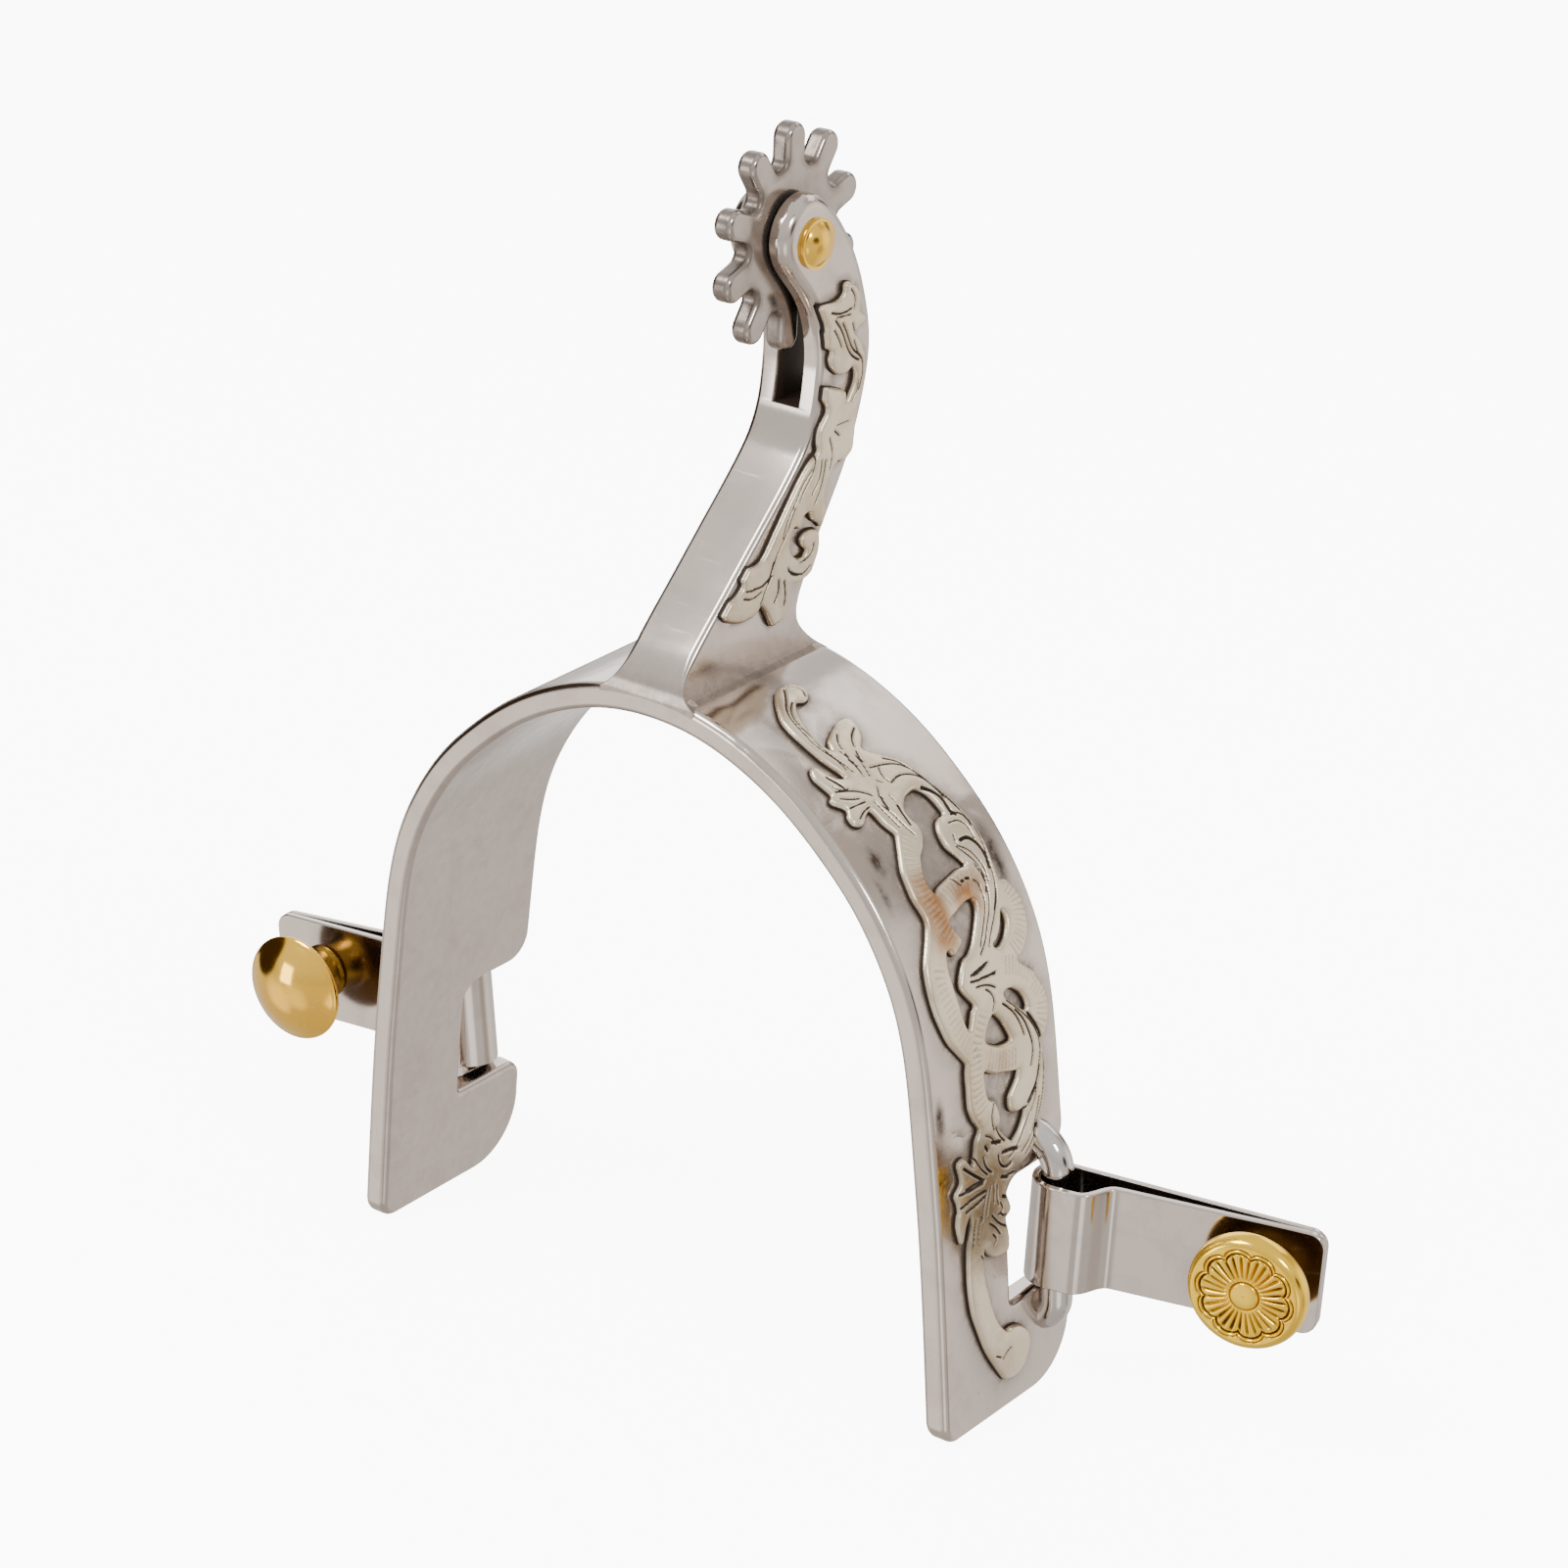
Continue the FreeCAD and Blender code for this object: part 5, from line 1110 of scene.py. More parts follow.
# ------------------------------------------------------------------ rowel and rivet
def rowel_outline():
    n = ROWEL_N
    hw_ = TOOTH_W / 2
    r = (GAP_ROOT * math.sin(math.pi / n) - hw_) / (1 - math.sin(math.pi / n))
    c = GAP_ROOT + r
    out = []
    rng = np.random.RandomState(2)
    for k in range(n):
        a = math.radians(ROWEL_PHASE) + 2 * math.pi * k / n
        b = a + math.pi / n
        e, nn = np.array([math.cos(a), math.sin(a)]), np.array([-math.sin(a), math.cos(a)])
        rt = hw_ * 0.99
        tip_c = e * (ROWEL_R - rt)
        along = c * math.cos(math.pi / n)
        for j in range(1, 6):          # side going out
            out.append(e * (along + (ROWEL_R - rt - along) * j / 6) - nn * hw_)
        for j in range(17):
            t = -math.pi / 2 + math.pi * j / 16
            out.append(tip_c + e * (math.cos(t) * rt) + nn * (math.sin(t) * hw_))
        for j in range(1, 6):
            out.append(e * (ROWEL_R - rt + (along - ROWEL_R + rt) * j / 6) + nn * hw_)
        f = np.array([math.cos(b), math.sin(b)])
        cc = f * c
        g0 = e * along + nn * hw_ - cc
        a2 = a + 2 * math.pi / n
        e2, n2 = np.array([math.cos(a2), math.sin(a2)]), np.array([-math.sin(a2), math.cos(a2)])
        g1 = e2 * along - n2 * hw_ - cc
        t0, t1 = math.atan2(g0[1], g0[0]), math.atan2(g1[1], g1[0])
        d = (t1 - t0 + math.pi) % (2 * math.pi) - math.pi
        if d > 0 and abs(d) < 3.0:
            pass
        # the arc passes through the root point
        mid = math.atan2(*(-f)[::-1])
        d0 = (mid - t0 + math.pi) % (2 * math.pi) - math.pi
        d = d0 * 2
        rr = np.linalg.norm(g0)
        for j in range(17):
            t = t0 + d * j / 16
            out.append(cc + rr * np.array([math.cos(t), math.sin(t)]))
    o = np.array(out)
    keep = np.linalg.norm(o - np.roll(o, 1, axis=0), axis=1) > 1e-4
    return orient(o[keep], True)


def rowel_place(u, v, h):
    z, o = np.zeros_like(u), np.ones_like(u)
    cs, sn = math.cos(ROWEL_SKEW), math.sin(ROWEL_SKEW)
    x = h - ROWEL_T / 2
    return (np.stack([x * cs - u * sn, x * sn + u * cs + PIN_Y, v + PIN_Z], 1), np.stack([-o * sn, o * cs, z], 1),
            np.stack([z, z, o], 1), np.stack([o * cs, o * sn, z], 1))


ang = np.linspace(0, 2 * math.pi, 49)[:-1]
hole = np.stack([1.74 * np.cos(-ang), 1.74 * np.sin(-ang)], 1)
r_out = rowel_outline()


def rowel_attr(uv, hh):
    # painted shade: dark gap roots between the teeth, dark tooth flanks, and a dark ring round the hub under the fork's
    # ears
    d, _ = seg_dist(uv, r_out, True)
    hub = np.hypot(uv[:, 0], uv[:, 1])
    root = np.exp(-((hub - GAP_ROOT) / 1.1) ** 2) * np.exp(-(d / 0.9) ** 2)
    flank_shade = np.where((hh > 0.55) & (hh < ROWEL_T - 0.55), 0.62, 0.0)
    return {"stain": np.maximum(np.maximum(0.85 * root, flank_shade), 0.45 * np.exp(-((hub - 4.0) / 2.8) ** 2))}


rowel = plate("rowel_wheel", [r_out, hole], ROWEL_T, 0.72, 0.72, rowel_place, fill=(0.55, 0.55), steps=7, attr=rowel_attr)
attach(rowel, "rowel_wheel"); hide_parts("rowel")


def rivet_head():
    pts = [(2.86, 0.0), (2.90, 0.08), (2.94, 0.30), (2.93, 0.42)]
    big = 3.75                          # crown radius
    top = 1.46
    a0 = math.asin(2.62 / big)
    z1 = top - big + big * math.cos(a0)
    for j in range(1, 7):               # round shoulder
        a = math.pi / 2 * j / 6
        pts.append((2.62 + 0.31 * math.cos(a), 0.42 + (z1 - 0.42) * math.sin(a)))
    for j in range(1, 13):
        a = a0 * (1 - j / 12)
        pts.append((big * math.sin(a), top - big + big * math.cos(a)))
    pts[-1] = (0.0, top)
    return pts


heads = []
shaft = lathe("pin_shaft", [(1.6, -SHANK_HALF - 0.02), (1.6, SHANK_HALF + 0.02)], (0, PIN_Y, PIN_Z), (1, 0, 0), (0, 1, 0), 48)
heads.append(shaft)
for sx in (1, -1):
    heads.append(lathe("pin_head", rivet_head(), (sx * SHANK_HALF, PIN_Y, PIN_Z), (sx, 0, 0), (0, 1, 0), 96))
pin = join(heads)
pin.name = "rivet"
pin.data.set_sharp_from_angle(angle=math.radians(50))
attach(pin, "band"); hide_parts("rowel_pin")


# ------------------------------------------------------------------ hinge staples
def face_x(z):
    m = (_out[:, 0] > 0) & (_out[:, 1] < 62)
    o = _out[m]
    k = np.argsort(o[:, 1])
    return float(np.interp(z, o[k, 1], o[k, 0]))


def staple_path(tilt):
    t = math.radians(tilt)
    up = np.array([math.sin(t), 0, math.cos(t)])
    c = np.array([BAR_X, BAR_Y, BAR_Z])
    top, bot = c + up * 7.1, c - up * 9.1
    slope = math.atan2(face_x(10) - face_x(30), 20.0)
    inward = np.array([-math.cos(slope), 0, -math.sin(slope)])

    def foot(p, d, sign):
        z0 = p[2] + sign * 3.0
        depth = (p[0] - face_x(z0)) * math.cos(slope) + 1.5
        an = math.acos(max(-1, min(1, float(d @ inward))))
        nd = inward - d * (d @ inward)
        nd /= np.linalg.norm(nd)
        k = (nd @ inward) * (1 - math.cos(an)) + (d @ inward) * math.sin(an)
        r = max(2.3, depth / k)
        cc = p + nd * r
        pts = [cc - nd * (r * math.cos(an * j / 18)) + d * (r * math.sin(an * j / 18)) for j in range(1, 19)]
        left = depth - r * k
        if left > 0.05:
            pts.append(pts[-1] + inward * left)
        return pts
    up_p = foot(top, up, 1)
    dn_p = foot(bot, -up, -1)
    mid = [bot + (top - bot) * j / 14 for j in range(15)]
    return np.array(dn_p[::-1] + mid + up_p), inward


def tube(name, path, r, seg=40, mirror=False, weld=None):
    p = np.array(path)
    if mirror:
        p = p * [-1, 1, 1]
    t = np.gradient(p, axis=0)
    t /= np.linalg.norm(t, axis=1)[:, None]
    ref = np.array([0, 1.0, 0])
    v, f = [], []
    n = len(p)
    for i in range(n):
        a = ref
        b = np.cross(t[i], a)
        b /= np.linalg.norm(b)
        rr = r
        if weld:
            e = min(np.linalg.norm(p[i] - p[0]), np.linalg.norm(p[i] - p[-1]))
            rr = r
        for k in range(seg):
            g = 2 * math.pi * k / seg
            v.append(p[i] + (a * math.cos(g) + b * math.sin(g)) * rr)
    for i in range(n - 1):
        for k in range(seg):
            q, w = i * seg + k, i * seg + (k + 1) % seg
            f.append((q, w, w + seg, q + seg))
    f.append(tuple(reversed(range(seg))))
    f.append(tuple(range((n - 1) * seg, n * seg)))
    ob = mesh_object(name, v, f)
    b = bmesh.new()
    b.from_mesh(ob.data)
    bmesh.ops.recalc_face_normals(b, faces=b.faces)
    b.to_mesh(ob.data)
    b.free()
    ob.data.polygons.foreach_set("use_smooth", [True] * len(ob.data.polygons))
    ob.data.set_sharp_from_angle(angle=math.radians(50))
    return ob


for key, tilt, mir in (("outer", -1.9, False), ("inner", 0.0, True)):
    path, inward = staple_path(tilt)
    st = tube(key + "_staple", path, WIRE_R, 44, mir)
    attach(st, "band"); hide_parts(key + "_hinge_staple")


# ------------------------------------------------------------------ button hangers
def strip_path():
    ri, t = LOOP_RI, STRIP_T
    qf0 = ri - JOGGLE_GAP
    slope = (ri - qf0) / (CLINCH_P - JOG_P1)
    # inner surface, from the back leaf's end round the bar to the front leaf's end
    pts, nrm = [], []

    def add(p, q):
        pts.append((p, q))
    for x in np.linspace(HANGER_L, 0, 60)[:-1]:
        add(x, ri)
    for a in np.linspace(math.pi / 2, 3 * math.pi / 2, 40):
        add(ri * math.cos(a), ri * math.sin(a))
    for x in (0.6, 1.2, 1.8, 2.4):
        add(x, -ri)
    jog, _ = spline([(JOG_P0 - 0.4, -ri), (JOG_P0, -ri), (JOG_P0 + 0.9, -ri + 0.20 * (qf0 + ri)), (JOG_P1 - 1.2, -ri + 0.76 * (qf0 + ri)), (JOG_P1, qf0), (JOG_P1 + 0.5, qf0 + 0.5 * slope)], 22)
    for p in jog:
        add(*p)
    for x in np.linspace(JOG_P1 + 0.5, CLINCH_P, 40)[1:]:
        add(x, qf0 + slope * (x - JOG_P1))
    for x in np.linspace(CLINCH_P, HANGER_L, 5)[1:]:
        add(x, ri)
    p = np.array(pts)
    for _ in range(3):
        p[1:-1] = (p[:-2] + 2 * p[1:-1] + p[2:]) / 4
    # the smoothing must not eat into the loop
    return p


_sp = strip_path()
_st = np.gradient(_sp, axis=0)
_st /= np.linalg.norm(_st, axis=1)[:, None]
_sn = np.c_[-_st[:, 1], _st[:, 0]] * -1.0               # away from the bar
_su = np.r_[0, np.cumsum(np.linalg.norm(np.diff(_sp, axis=0), axis=1))]
# make sure the normal points outwards on the back leaf
if _sn[5, 1] < 0:
    _sn = -_sn


def hanger_frame(sign, swing, tilt, zc):
    t = math.radians(tilt)
    up = np.array([sign * math.sin(t), 0, math.cos(t)])
    c = np.array([sign * BAR_X, BAR_Y, BAR_Z]) + up * (zc - BAR_Z)
    b = math.radians(swing)
    al = np.array([sign * math.cos(b), math.sin(b), 0.0])
    al -= up * (al @ up)
    al /= np.linalg.norm(al)
    back = np.cross(up, al) * sign
    return c, up, al, back


def make_hanger(name, sign, swing, tilt, zc):
    c, up, al, back = hanger_frame(sign, swing, tilt, zc)

    def place(u, v, h):
        p = np.interp(u, _su, _sp[:, 0])
        q = np.interp(u, _su, _sp[:, 1])
        nx, ny = np.interp(u, _su, _sn[:, 0]), np.interp(u, _su, _sn[:, 1])
        l = np.hypot(nx, ny)
        nx, ny = nx / l, ny / l
        tx, ty = np.interp(u, _su, _st[:, 0]), np.interp(u, _su, _st[:, 1])
        l = np.hypot(tx, ty)
        tx, ty = tx / l, ty / l
        pos = c + np.outer(p + nx * h, al) + np.outer(q + ny * h, back) + np.outer(v, up)
        return pos, np.outer(tx, al) + np.outer(ty, back), np.outer(np.ones_like(u), up), np.outer(nx, al) + np.outer(ny, back)
    L = _su[-1]
    w = STRIP_W / 2
    outline = rounded([(0, -w, 2.0), (L, -w, 2.0), (L, w, 2.0), (0, w, 2.0)], 0.2, 0.55)
    ob = plate(name, [outline], STRIP_T, 0.14, 0.2, place, fill=(0.5, 1.6), steps=4)
    return ob, c, up, al, back


# ------------------------------------------------------------------ buttons
def flower_button(name, origin, axis, xdir, neck_l):
    """Turned neck and a head struck with a many-petalled flower."""
    z = np.array(axis, float)
    x = np.array(xdir, float)
    x -= z * (x @ z)
    x /= np.linalg.norm(x)
    y = np.cross(z, x)
    R = 7.15
    nr, na = ((112, 540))
    rr = np.r_[0, np.linspace(0.12, 6.3, nr - 14), np.linspace(6.3, R, 15)[1:]]
    nr = len(rr) - 1
    lob = 10
    v = [origin + z * (neck_l + 2.36)]
    shade = [1.0]
    for r in rr[1:]:
        for k in range(na):
            a = 2 * math.pi * k / na
            sc = abs(math.cos(lob * a / 2 + 0.3))
            ring1 = 4.55 + 0.80 * sc ** 0.55
            ring2 = ring1 + 0.50
            h, s = 2.26, 1.0
            if r > 6.0:                  # round bevel down to the rim
                t = (r - 6.0) / (R - 6.0)
                h = 2.26 - 1.72 * (1 - math.sqrt(max(0.0, 1 - t ** 2.2)))
            g1 = math.exp(-((r - ring1) / 0.13) ** 2)
            g2 = math.exp(-((r - ring2) / 0.09) ** 2)
            h -= 0.30 * g1 + 0.20 * g2
            s -= 0.88 * g1 + 0.72 * g2
            if ring1 < r < ring2:
                h += 0.07 * math.sin(math.pi * (r - ring1) / 0.5)
            if 1.85 < r < ring1 - 0.05:  # petals with three strokes to a lobe
                u = (r - 1.85) / (ring1 - 1.85)
                ph = 3 * lob * a + 0.9
                pet = 0.5 + 0.5 * math.cos(ph)
                env = min(1, u * 6) * min(1, (1 - u) * 5)
                cutg = (1 - pet) ** (1.6 + 1.6 * u) * env * (0.55 + 0.45 * u)
                h -= 0.03 + 0.27 * cutg - 0.10 * math.sin(math.pi * min(1, u)) * pet
                s -= (0.80 + 0.5 * max(0, math.sin(a * 3.0 + 1.1)) * u) * cutg
            gd = math.exp(-((r - 1.72) / 0.12) ** 2)
            h -= 0.26 * gd
            s -= 0.55 * gd
            if r < 1.66:
                h += 0.08 + 0.10 * (1 - (r / 1.66) ** 2)
            v.append(origin + z * (neck_l + h) + (x * math.cos(a) + y * math.sin(a)) * r)
            shade.append(max(0.0, s))
    f = [(0, 1 + k, 1 + (k + 1) % na) for k in range(na)]
    for i in range(nr - 1):
        for k in range(na):
            p, q = 1 + i * na + k, 1 + i * na + (k + 1) % na
            f.append((p, p + na, q + na, q))
    # rim and underside; the underside and neck are painted dark: painted shade under the head
    under = [(R + 0.0, neck_l + 0.34), (R - 0.05, neck_l + 0.17), (R - 0.35, neck_l + 0.06), (5.2, neck_l - 0.02), (4.1, neck_l - 0.22), (3.45, neck_l - 0.75),
             (3.2, neck_l - 1.4), (3.2, 1.5), (3.3, 1.0), (3.5, 0.75), (3.5, 0.25)]
    last = 1 + (nr - 1) * na
    for r, h in under:
        base = len(v)
        for k in range(na):
            a = 2 * math.pi * k / na
            v.append(origin + z * h + (x * math.cos(a) + y * math.sin(a)) * r)
            shade.append(1.0 if r > 7 else 0.02)
        for k in range(na):
            f.append((last + k, base + k, base + (k + 1) % na, last + (k + 1) % na))
        last = base
    f.append(tuple(last + k for k in reversed(range(na))))
    ob = mesh_object(name, v, f, None, {"relief": np.array(shade)})
    b = bmesh.new()
    b.from_mesh(ob.data)
    bmesh.ops.recalc_face_normals(b, faces=b.faces)
    b.to_mesh(ob.data)
    b.free()
    ob.data.polygons.foreach_set("use_smooth", [True] * len(ob.data.polygons))
    ob.data.set_sharp_from_angle(angle=math.radians(48))
    return ob


def give_relief(ob, values):
    at = ob.data.attributes.new("relief", "FLOAT", "POINT")
    at.data.foreach_set("value", np.asarray(values, np.float32))


def plain_button(name, origin, axis, xdir, neck_l):
    rad = 6.9
    h0 = neck_l + 0.7
    hgt = 2.9
    big = (rad * rad + hgt * hgt) / (2 * hgt)
    a0 = math.asin(min(1, rad / big))
    prof = [(3.5, 0.25), (3.5, 0.75), (3.3, 1.0), (3.2, 1.5), (3.2, neck_l - 1.3), (3.4, neck_l - 0.75), (3.95, neck_l - 0.3), (4.8, neck_l - 0.02),
            (6.3, neck_l + 0.22), (6.72, neck_l + 0.36), (6.88, neck_l + 0.56), (6.9, neck_l + 0.74), (6.84, neck_l + 0.92)]
    for j in range(2, 27):
        a = a0 * (1 - j / 26)
        prof.append((big * math.sin(a), h0 + big * math.cos(a) - (big - hgt)))
    prof[-1] = (0.0, h0 + hgt)
    ob = lathe(name, prof, origin, axis, xdir, 128)
    co = np.empty(len(ob.data.vertices) * 3)
    ob.data.vertices.foreach_get("co", co)
    z = np.array(axis, float)
    h = (co.reshape(-1, 3) / MM - np.array(origin, float)) @ (z / np.linalg.norm(z))
    # painted shade: the underside of the head is painted dark and the neck a little less
    give_relief(ob, np.where(h > neck_l + 0.5, 1.0, np.where(h > neck_l - 0.4, 0.02, 0.35)))
    return ob


for key, sign, swing, tilt, zc, bp, nl in (("outer", 1, 13.6, 3.0, 20.6, 24.1, 3.8), ("inner", -1, -3.6, 5.0, 20.3, 23.8, 5.6)):
    hg, c, up, al, back = make_hanger(key + "_hanger", sign, swing, tilt, zc)
    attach(hg, key + "_hanger"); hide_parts(key + "_button_hanger")
    o = c + al * bp + back * (LOOP_RI - STRIP_T)
    if key == "outer":
        bt = flower_button("outer_flower_button", o, -back, al, nl)
    else:
        bt = plain_button("inner_dome_button", o, -back, al, nl)
    tail = lathe(key + "_rivet_tail", arc_profile([(0, 0, 0), (2.5, 0, 0), (2.5, 0.30, 0.12), (2.2, 0.5, 0.3), (0, 0.5, 0)], 5), o + back * 2 * STRIP_T, back, al, 64)
    give_relief(tail, np.full(len(tail.data.vertices), 0.8))
    bt = join([bt, tail])
    bt.data.set_sharp_from_angle(angle=math.radians(48))
    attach(bt, key + "_hanger"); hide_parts(key + "_button")


# ------------------------------------------------------------------ materials
def ramp(nt, fac, stops, interp="LINEAR"):
    r = nt.nodes.new("ShaderNodeValToRGB")
    cr = r.color_ramp
    cr.interpolation = interp
    while len(cr.elements) > len(stops):
        cr.elements.remove(cr.elements[-1])
    while len(cr.elements) < len(stops):
        cr.elements.new(0.5)
    for e, (p, c) in zip(cr.elements, stops):
        e.position = p
        e.color = (c, c, c, 1) if isinstance(c, (int, float)) else (*c, 1)
    nt.links.new(fac, r.inputs["Fac"])
    return r.outputs["Color"]


def noise(nt, vec, scale, detail=4.0, rough=0.55, dist=0.0):
    n = nt.nodes.new("ShaderNodeTexNoise")
    n.inputs["Scale"].default_value = scale
    n.inputs["Detail"].default_value = detail
    n.inputs["Roughness"].default_value = rough
    n.inputs["Distortion"].default_value = dist
    nt.links.new(vec, n.inputs["Vector"])
    return n.outputs["Fac"]


def mapped(nt, vec, scale=(1, 1, 1), rot=(0, 0, 0), loc=(0, 0, 0)):
    m = nt.nodes.new("ShaderNodeMapping")
    m.inputs["Scale"].default_value = scale
    m.inputs["Rotation"].default_value = rot
    m.inputs["Location"].default_value = loc
    nt.links.new(vec, m.inputs["Vector"])
    return m.outputs["Vector"]


def mix(nt, fac, a, b, mode="MIX"):
    m = nt.nodes.new("ShaderNodeMix")
    m.data_type = "RGBA"
    m.blend_type = mode
    for key, val in (("Factor", fac), ("A", a), ("B", b)):
        sock = [s for s in m.inputs if s.name == key and s.enabled and (key == "Factor" or s.type == "RGBA")][0]
        if isinstance(val, (int, float)):
            sock.default_value = val
        elif isinstance(val, tuple):
            sock.default_value = (*val, 1)
        else:
            nt.links.new(val, sock)
    return [s for s in m.outputs if s.type == "RGBA" and s.enabled][0]


def calc(nt, op, a, b=None, c=None, clamp=False):
    m = nt.nodes.new("ShaderNodeMath")
    m.operation = op
    m.use_clamp = clamp
    for i, v in enumerate((a, b, c)):
        if v is None:
            continue
        if isinstance(v, (int, float)):
            m.inputs[i].default_value = v
        else:
            nt.links.new(v, m.inputs[i])
    return m.outputs[0]


def attribute(nt, name):
    a = nt.nodes.new("ShaderNodeAttribute")
    a.attribute_name = name
    return a.outputs["Fac"]


def pointiness(nt):
    g = nt.nodes.new("ShaderNodeNewGeometry")
    return g.outputs["Pointiness"]


def start(name):
    m = bpy.data.materials.new(name)
    m.use_nodes = True
    nt = m.node_tree
    b = nt.nodes["Principled BSDF"]
    tc = nt.nodes.new("ShaderNodeTexCoord")
    return m, nt, b, tc.outputs["Object"]


def scratches(nt, vec, scale, stretch, rot, lo, hi):
    v = mapped(nt, vec, stretch, rot)
    n = noise(nt, v, scale, 2.0, 0.5)
    return ramp(nt, n, [(lo, 0.0), (hi, 1.0)])


def bump(nt, height, strength, dist, normal=None):
    b = nt.nodes.new("ShaderNodeBump")
    b.inputs["Strength"].default_value = strength
    b.inputs["Distance"].default_value = dist
    nt.links.new(height, b.inputs["Height"])
    if normal is not None:
        nt.links.new(normal, b.inputs["Normal"])
    return b.outputs["Normal"]


def steel(name, base, dark, rough, grain_rot=(0, 0, 0), grain=(60, 900, 900), stain=False, rust=0.5, smear=1.0, wavy=0.0, sway=0.10, tooth=0.10):
    m, nt, b, co = start(name)
    big = noise(nt, co, 38, 3, 0.5)
    mid = noise(nt, co, 160, 5, 0.62, 0.4)
    fine = noise(nt, co, 1500, 3, 0.6)
    col = mix(nt, ramp(nt, big, [(0.38, 0.0), (0.66, 1.0)]), base, tuple(c * 0.93 for c in base))
    col = mix(nt, calc(nt, "MULTIPLY", ramp(nt, mid, [(0.50, 0.0), (0.78, 1.0)]), 0.55 * smear), col, dark)
    # pinhead rust and dirt specks
    v = nt.nodes.new("ShaderNodeTexVoronoi")
    v.inputs["Scale"].default_value = 420
    nt.links.new(co, v.inputs["Vector"])
    spots = ramp(nt, v.outputs["Distance"], [(0.04, 1.0), (0.12, 0.0)])
    where = ramp(nt, noise(nt, co, 75, 2, 0.5), [(0.64, 0.0), (0.72, 1.0)])
    speck = calc(nt, "MULTIPLY", spots, where)
    speck = calc(nt, "MULTIPLY", speck, rust)
    col = mix(nt, speck, col, (0.16, 0.075, 0.035))
    line1 = scratches(nt, co, 1.0, (90, 2600, 2600), (0.15, 0.35, 0.2), 0.63, 0.72)
    line2 = scratches(nt, co, 1.0, (2400, 110, 2400), (0.3, 0.1, 0.6), 0.65, 0.73)
    lines = calc(nt, "MAXIMUM", line1, line2)
    col = mix(nt, calc(nt, "MULTIPLY", lines, 0.07), col, tuple(min(1, c * 1.25) for c in base))
    ro = calc(nt, "MULTIPLY_ADD", mid, 0.12, rough - 0.06)
    ro = calc(nt, "MULTIPLY_ADD", big, 0.06, ro)
    ro = calc(nt, "MULTIPLY_ADD", lines, 0.04, ro)
    if stain:
        # this attribute holds real patina plus painted shade and painted dark reflections; it darkens the colour
        # towards near-black brown
        st = attribute(nt, "stain")
        var = ramp(nt, noise(nt, co, 700, 4, 0.6), [(0.30, 0.55), (0.62, 1.0)])
        st = calc(nt, "MULTIPLY", st, var, clamp=True)
        col = mix(nt, st, col, (0.050, 0.030, 0.017))
        ro = calc(nt, "MULTIPLY_ADD", st, 0.30, ro)
        met = calc(nt, "MULTIPLY_ADD", st, -0.45, 1.0)
        tn = calc(nt, "MULTIPLY", attribute(nt, "tarnish"), ramp(nt, mid, [(0.36, 0.35), (0.60, 1.0)]))
        col = mix(nt, tn, col, (0.30, 0.175, 0.045))
        nt.links.new(met, b.inputs["Metallic"])
    else:
        b.inputs["Metallic"].default_value = 1.0
    ro = calc(nt, "MULTIPLY_ADD", speck, 0.4, ro, clamp=True)
    nt.links.new(col, b.inputs["Base Color"])
    nt.links.new(ro, b.inputs["Roughness"])
    gr = noise(nt, mapped(nt, co, grain, grain_rot), 1.0, 3, 0.6)
    n1 = bump(nt, noise(nt, co, 27, 1.5, 0.4), sway, 0.0014)
    if wavy:
        wv = noise(nt, co, 120, 1.5, 0.5, 0.8)
        n1 = bump(nt, calc(nt, "MULTIPLY", wv, calc(nt, "MULTIPLY_ADD", attribute(nt, "warp"), 1.0, 0.35)), wavy, 0.0009, n1)
    n2 = bump(nt, calc(nt, "MULTIPLY_ADD", lines, -0.3, calc(nt, "ADD", gr, calc(nt, "MULTIPLY", fine, 0.3))), tooth, 0.00004, n1)
    nt.links.new(n2, b.inputs["Normal"])
    return m


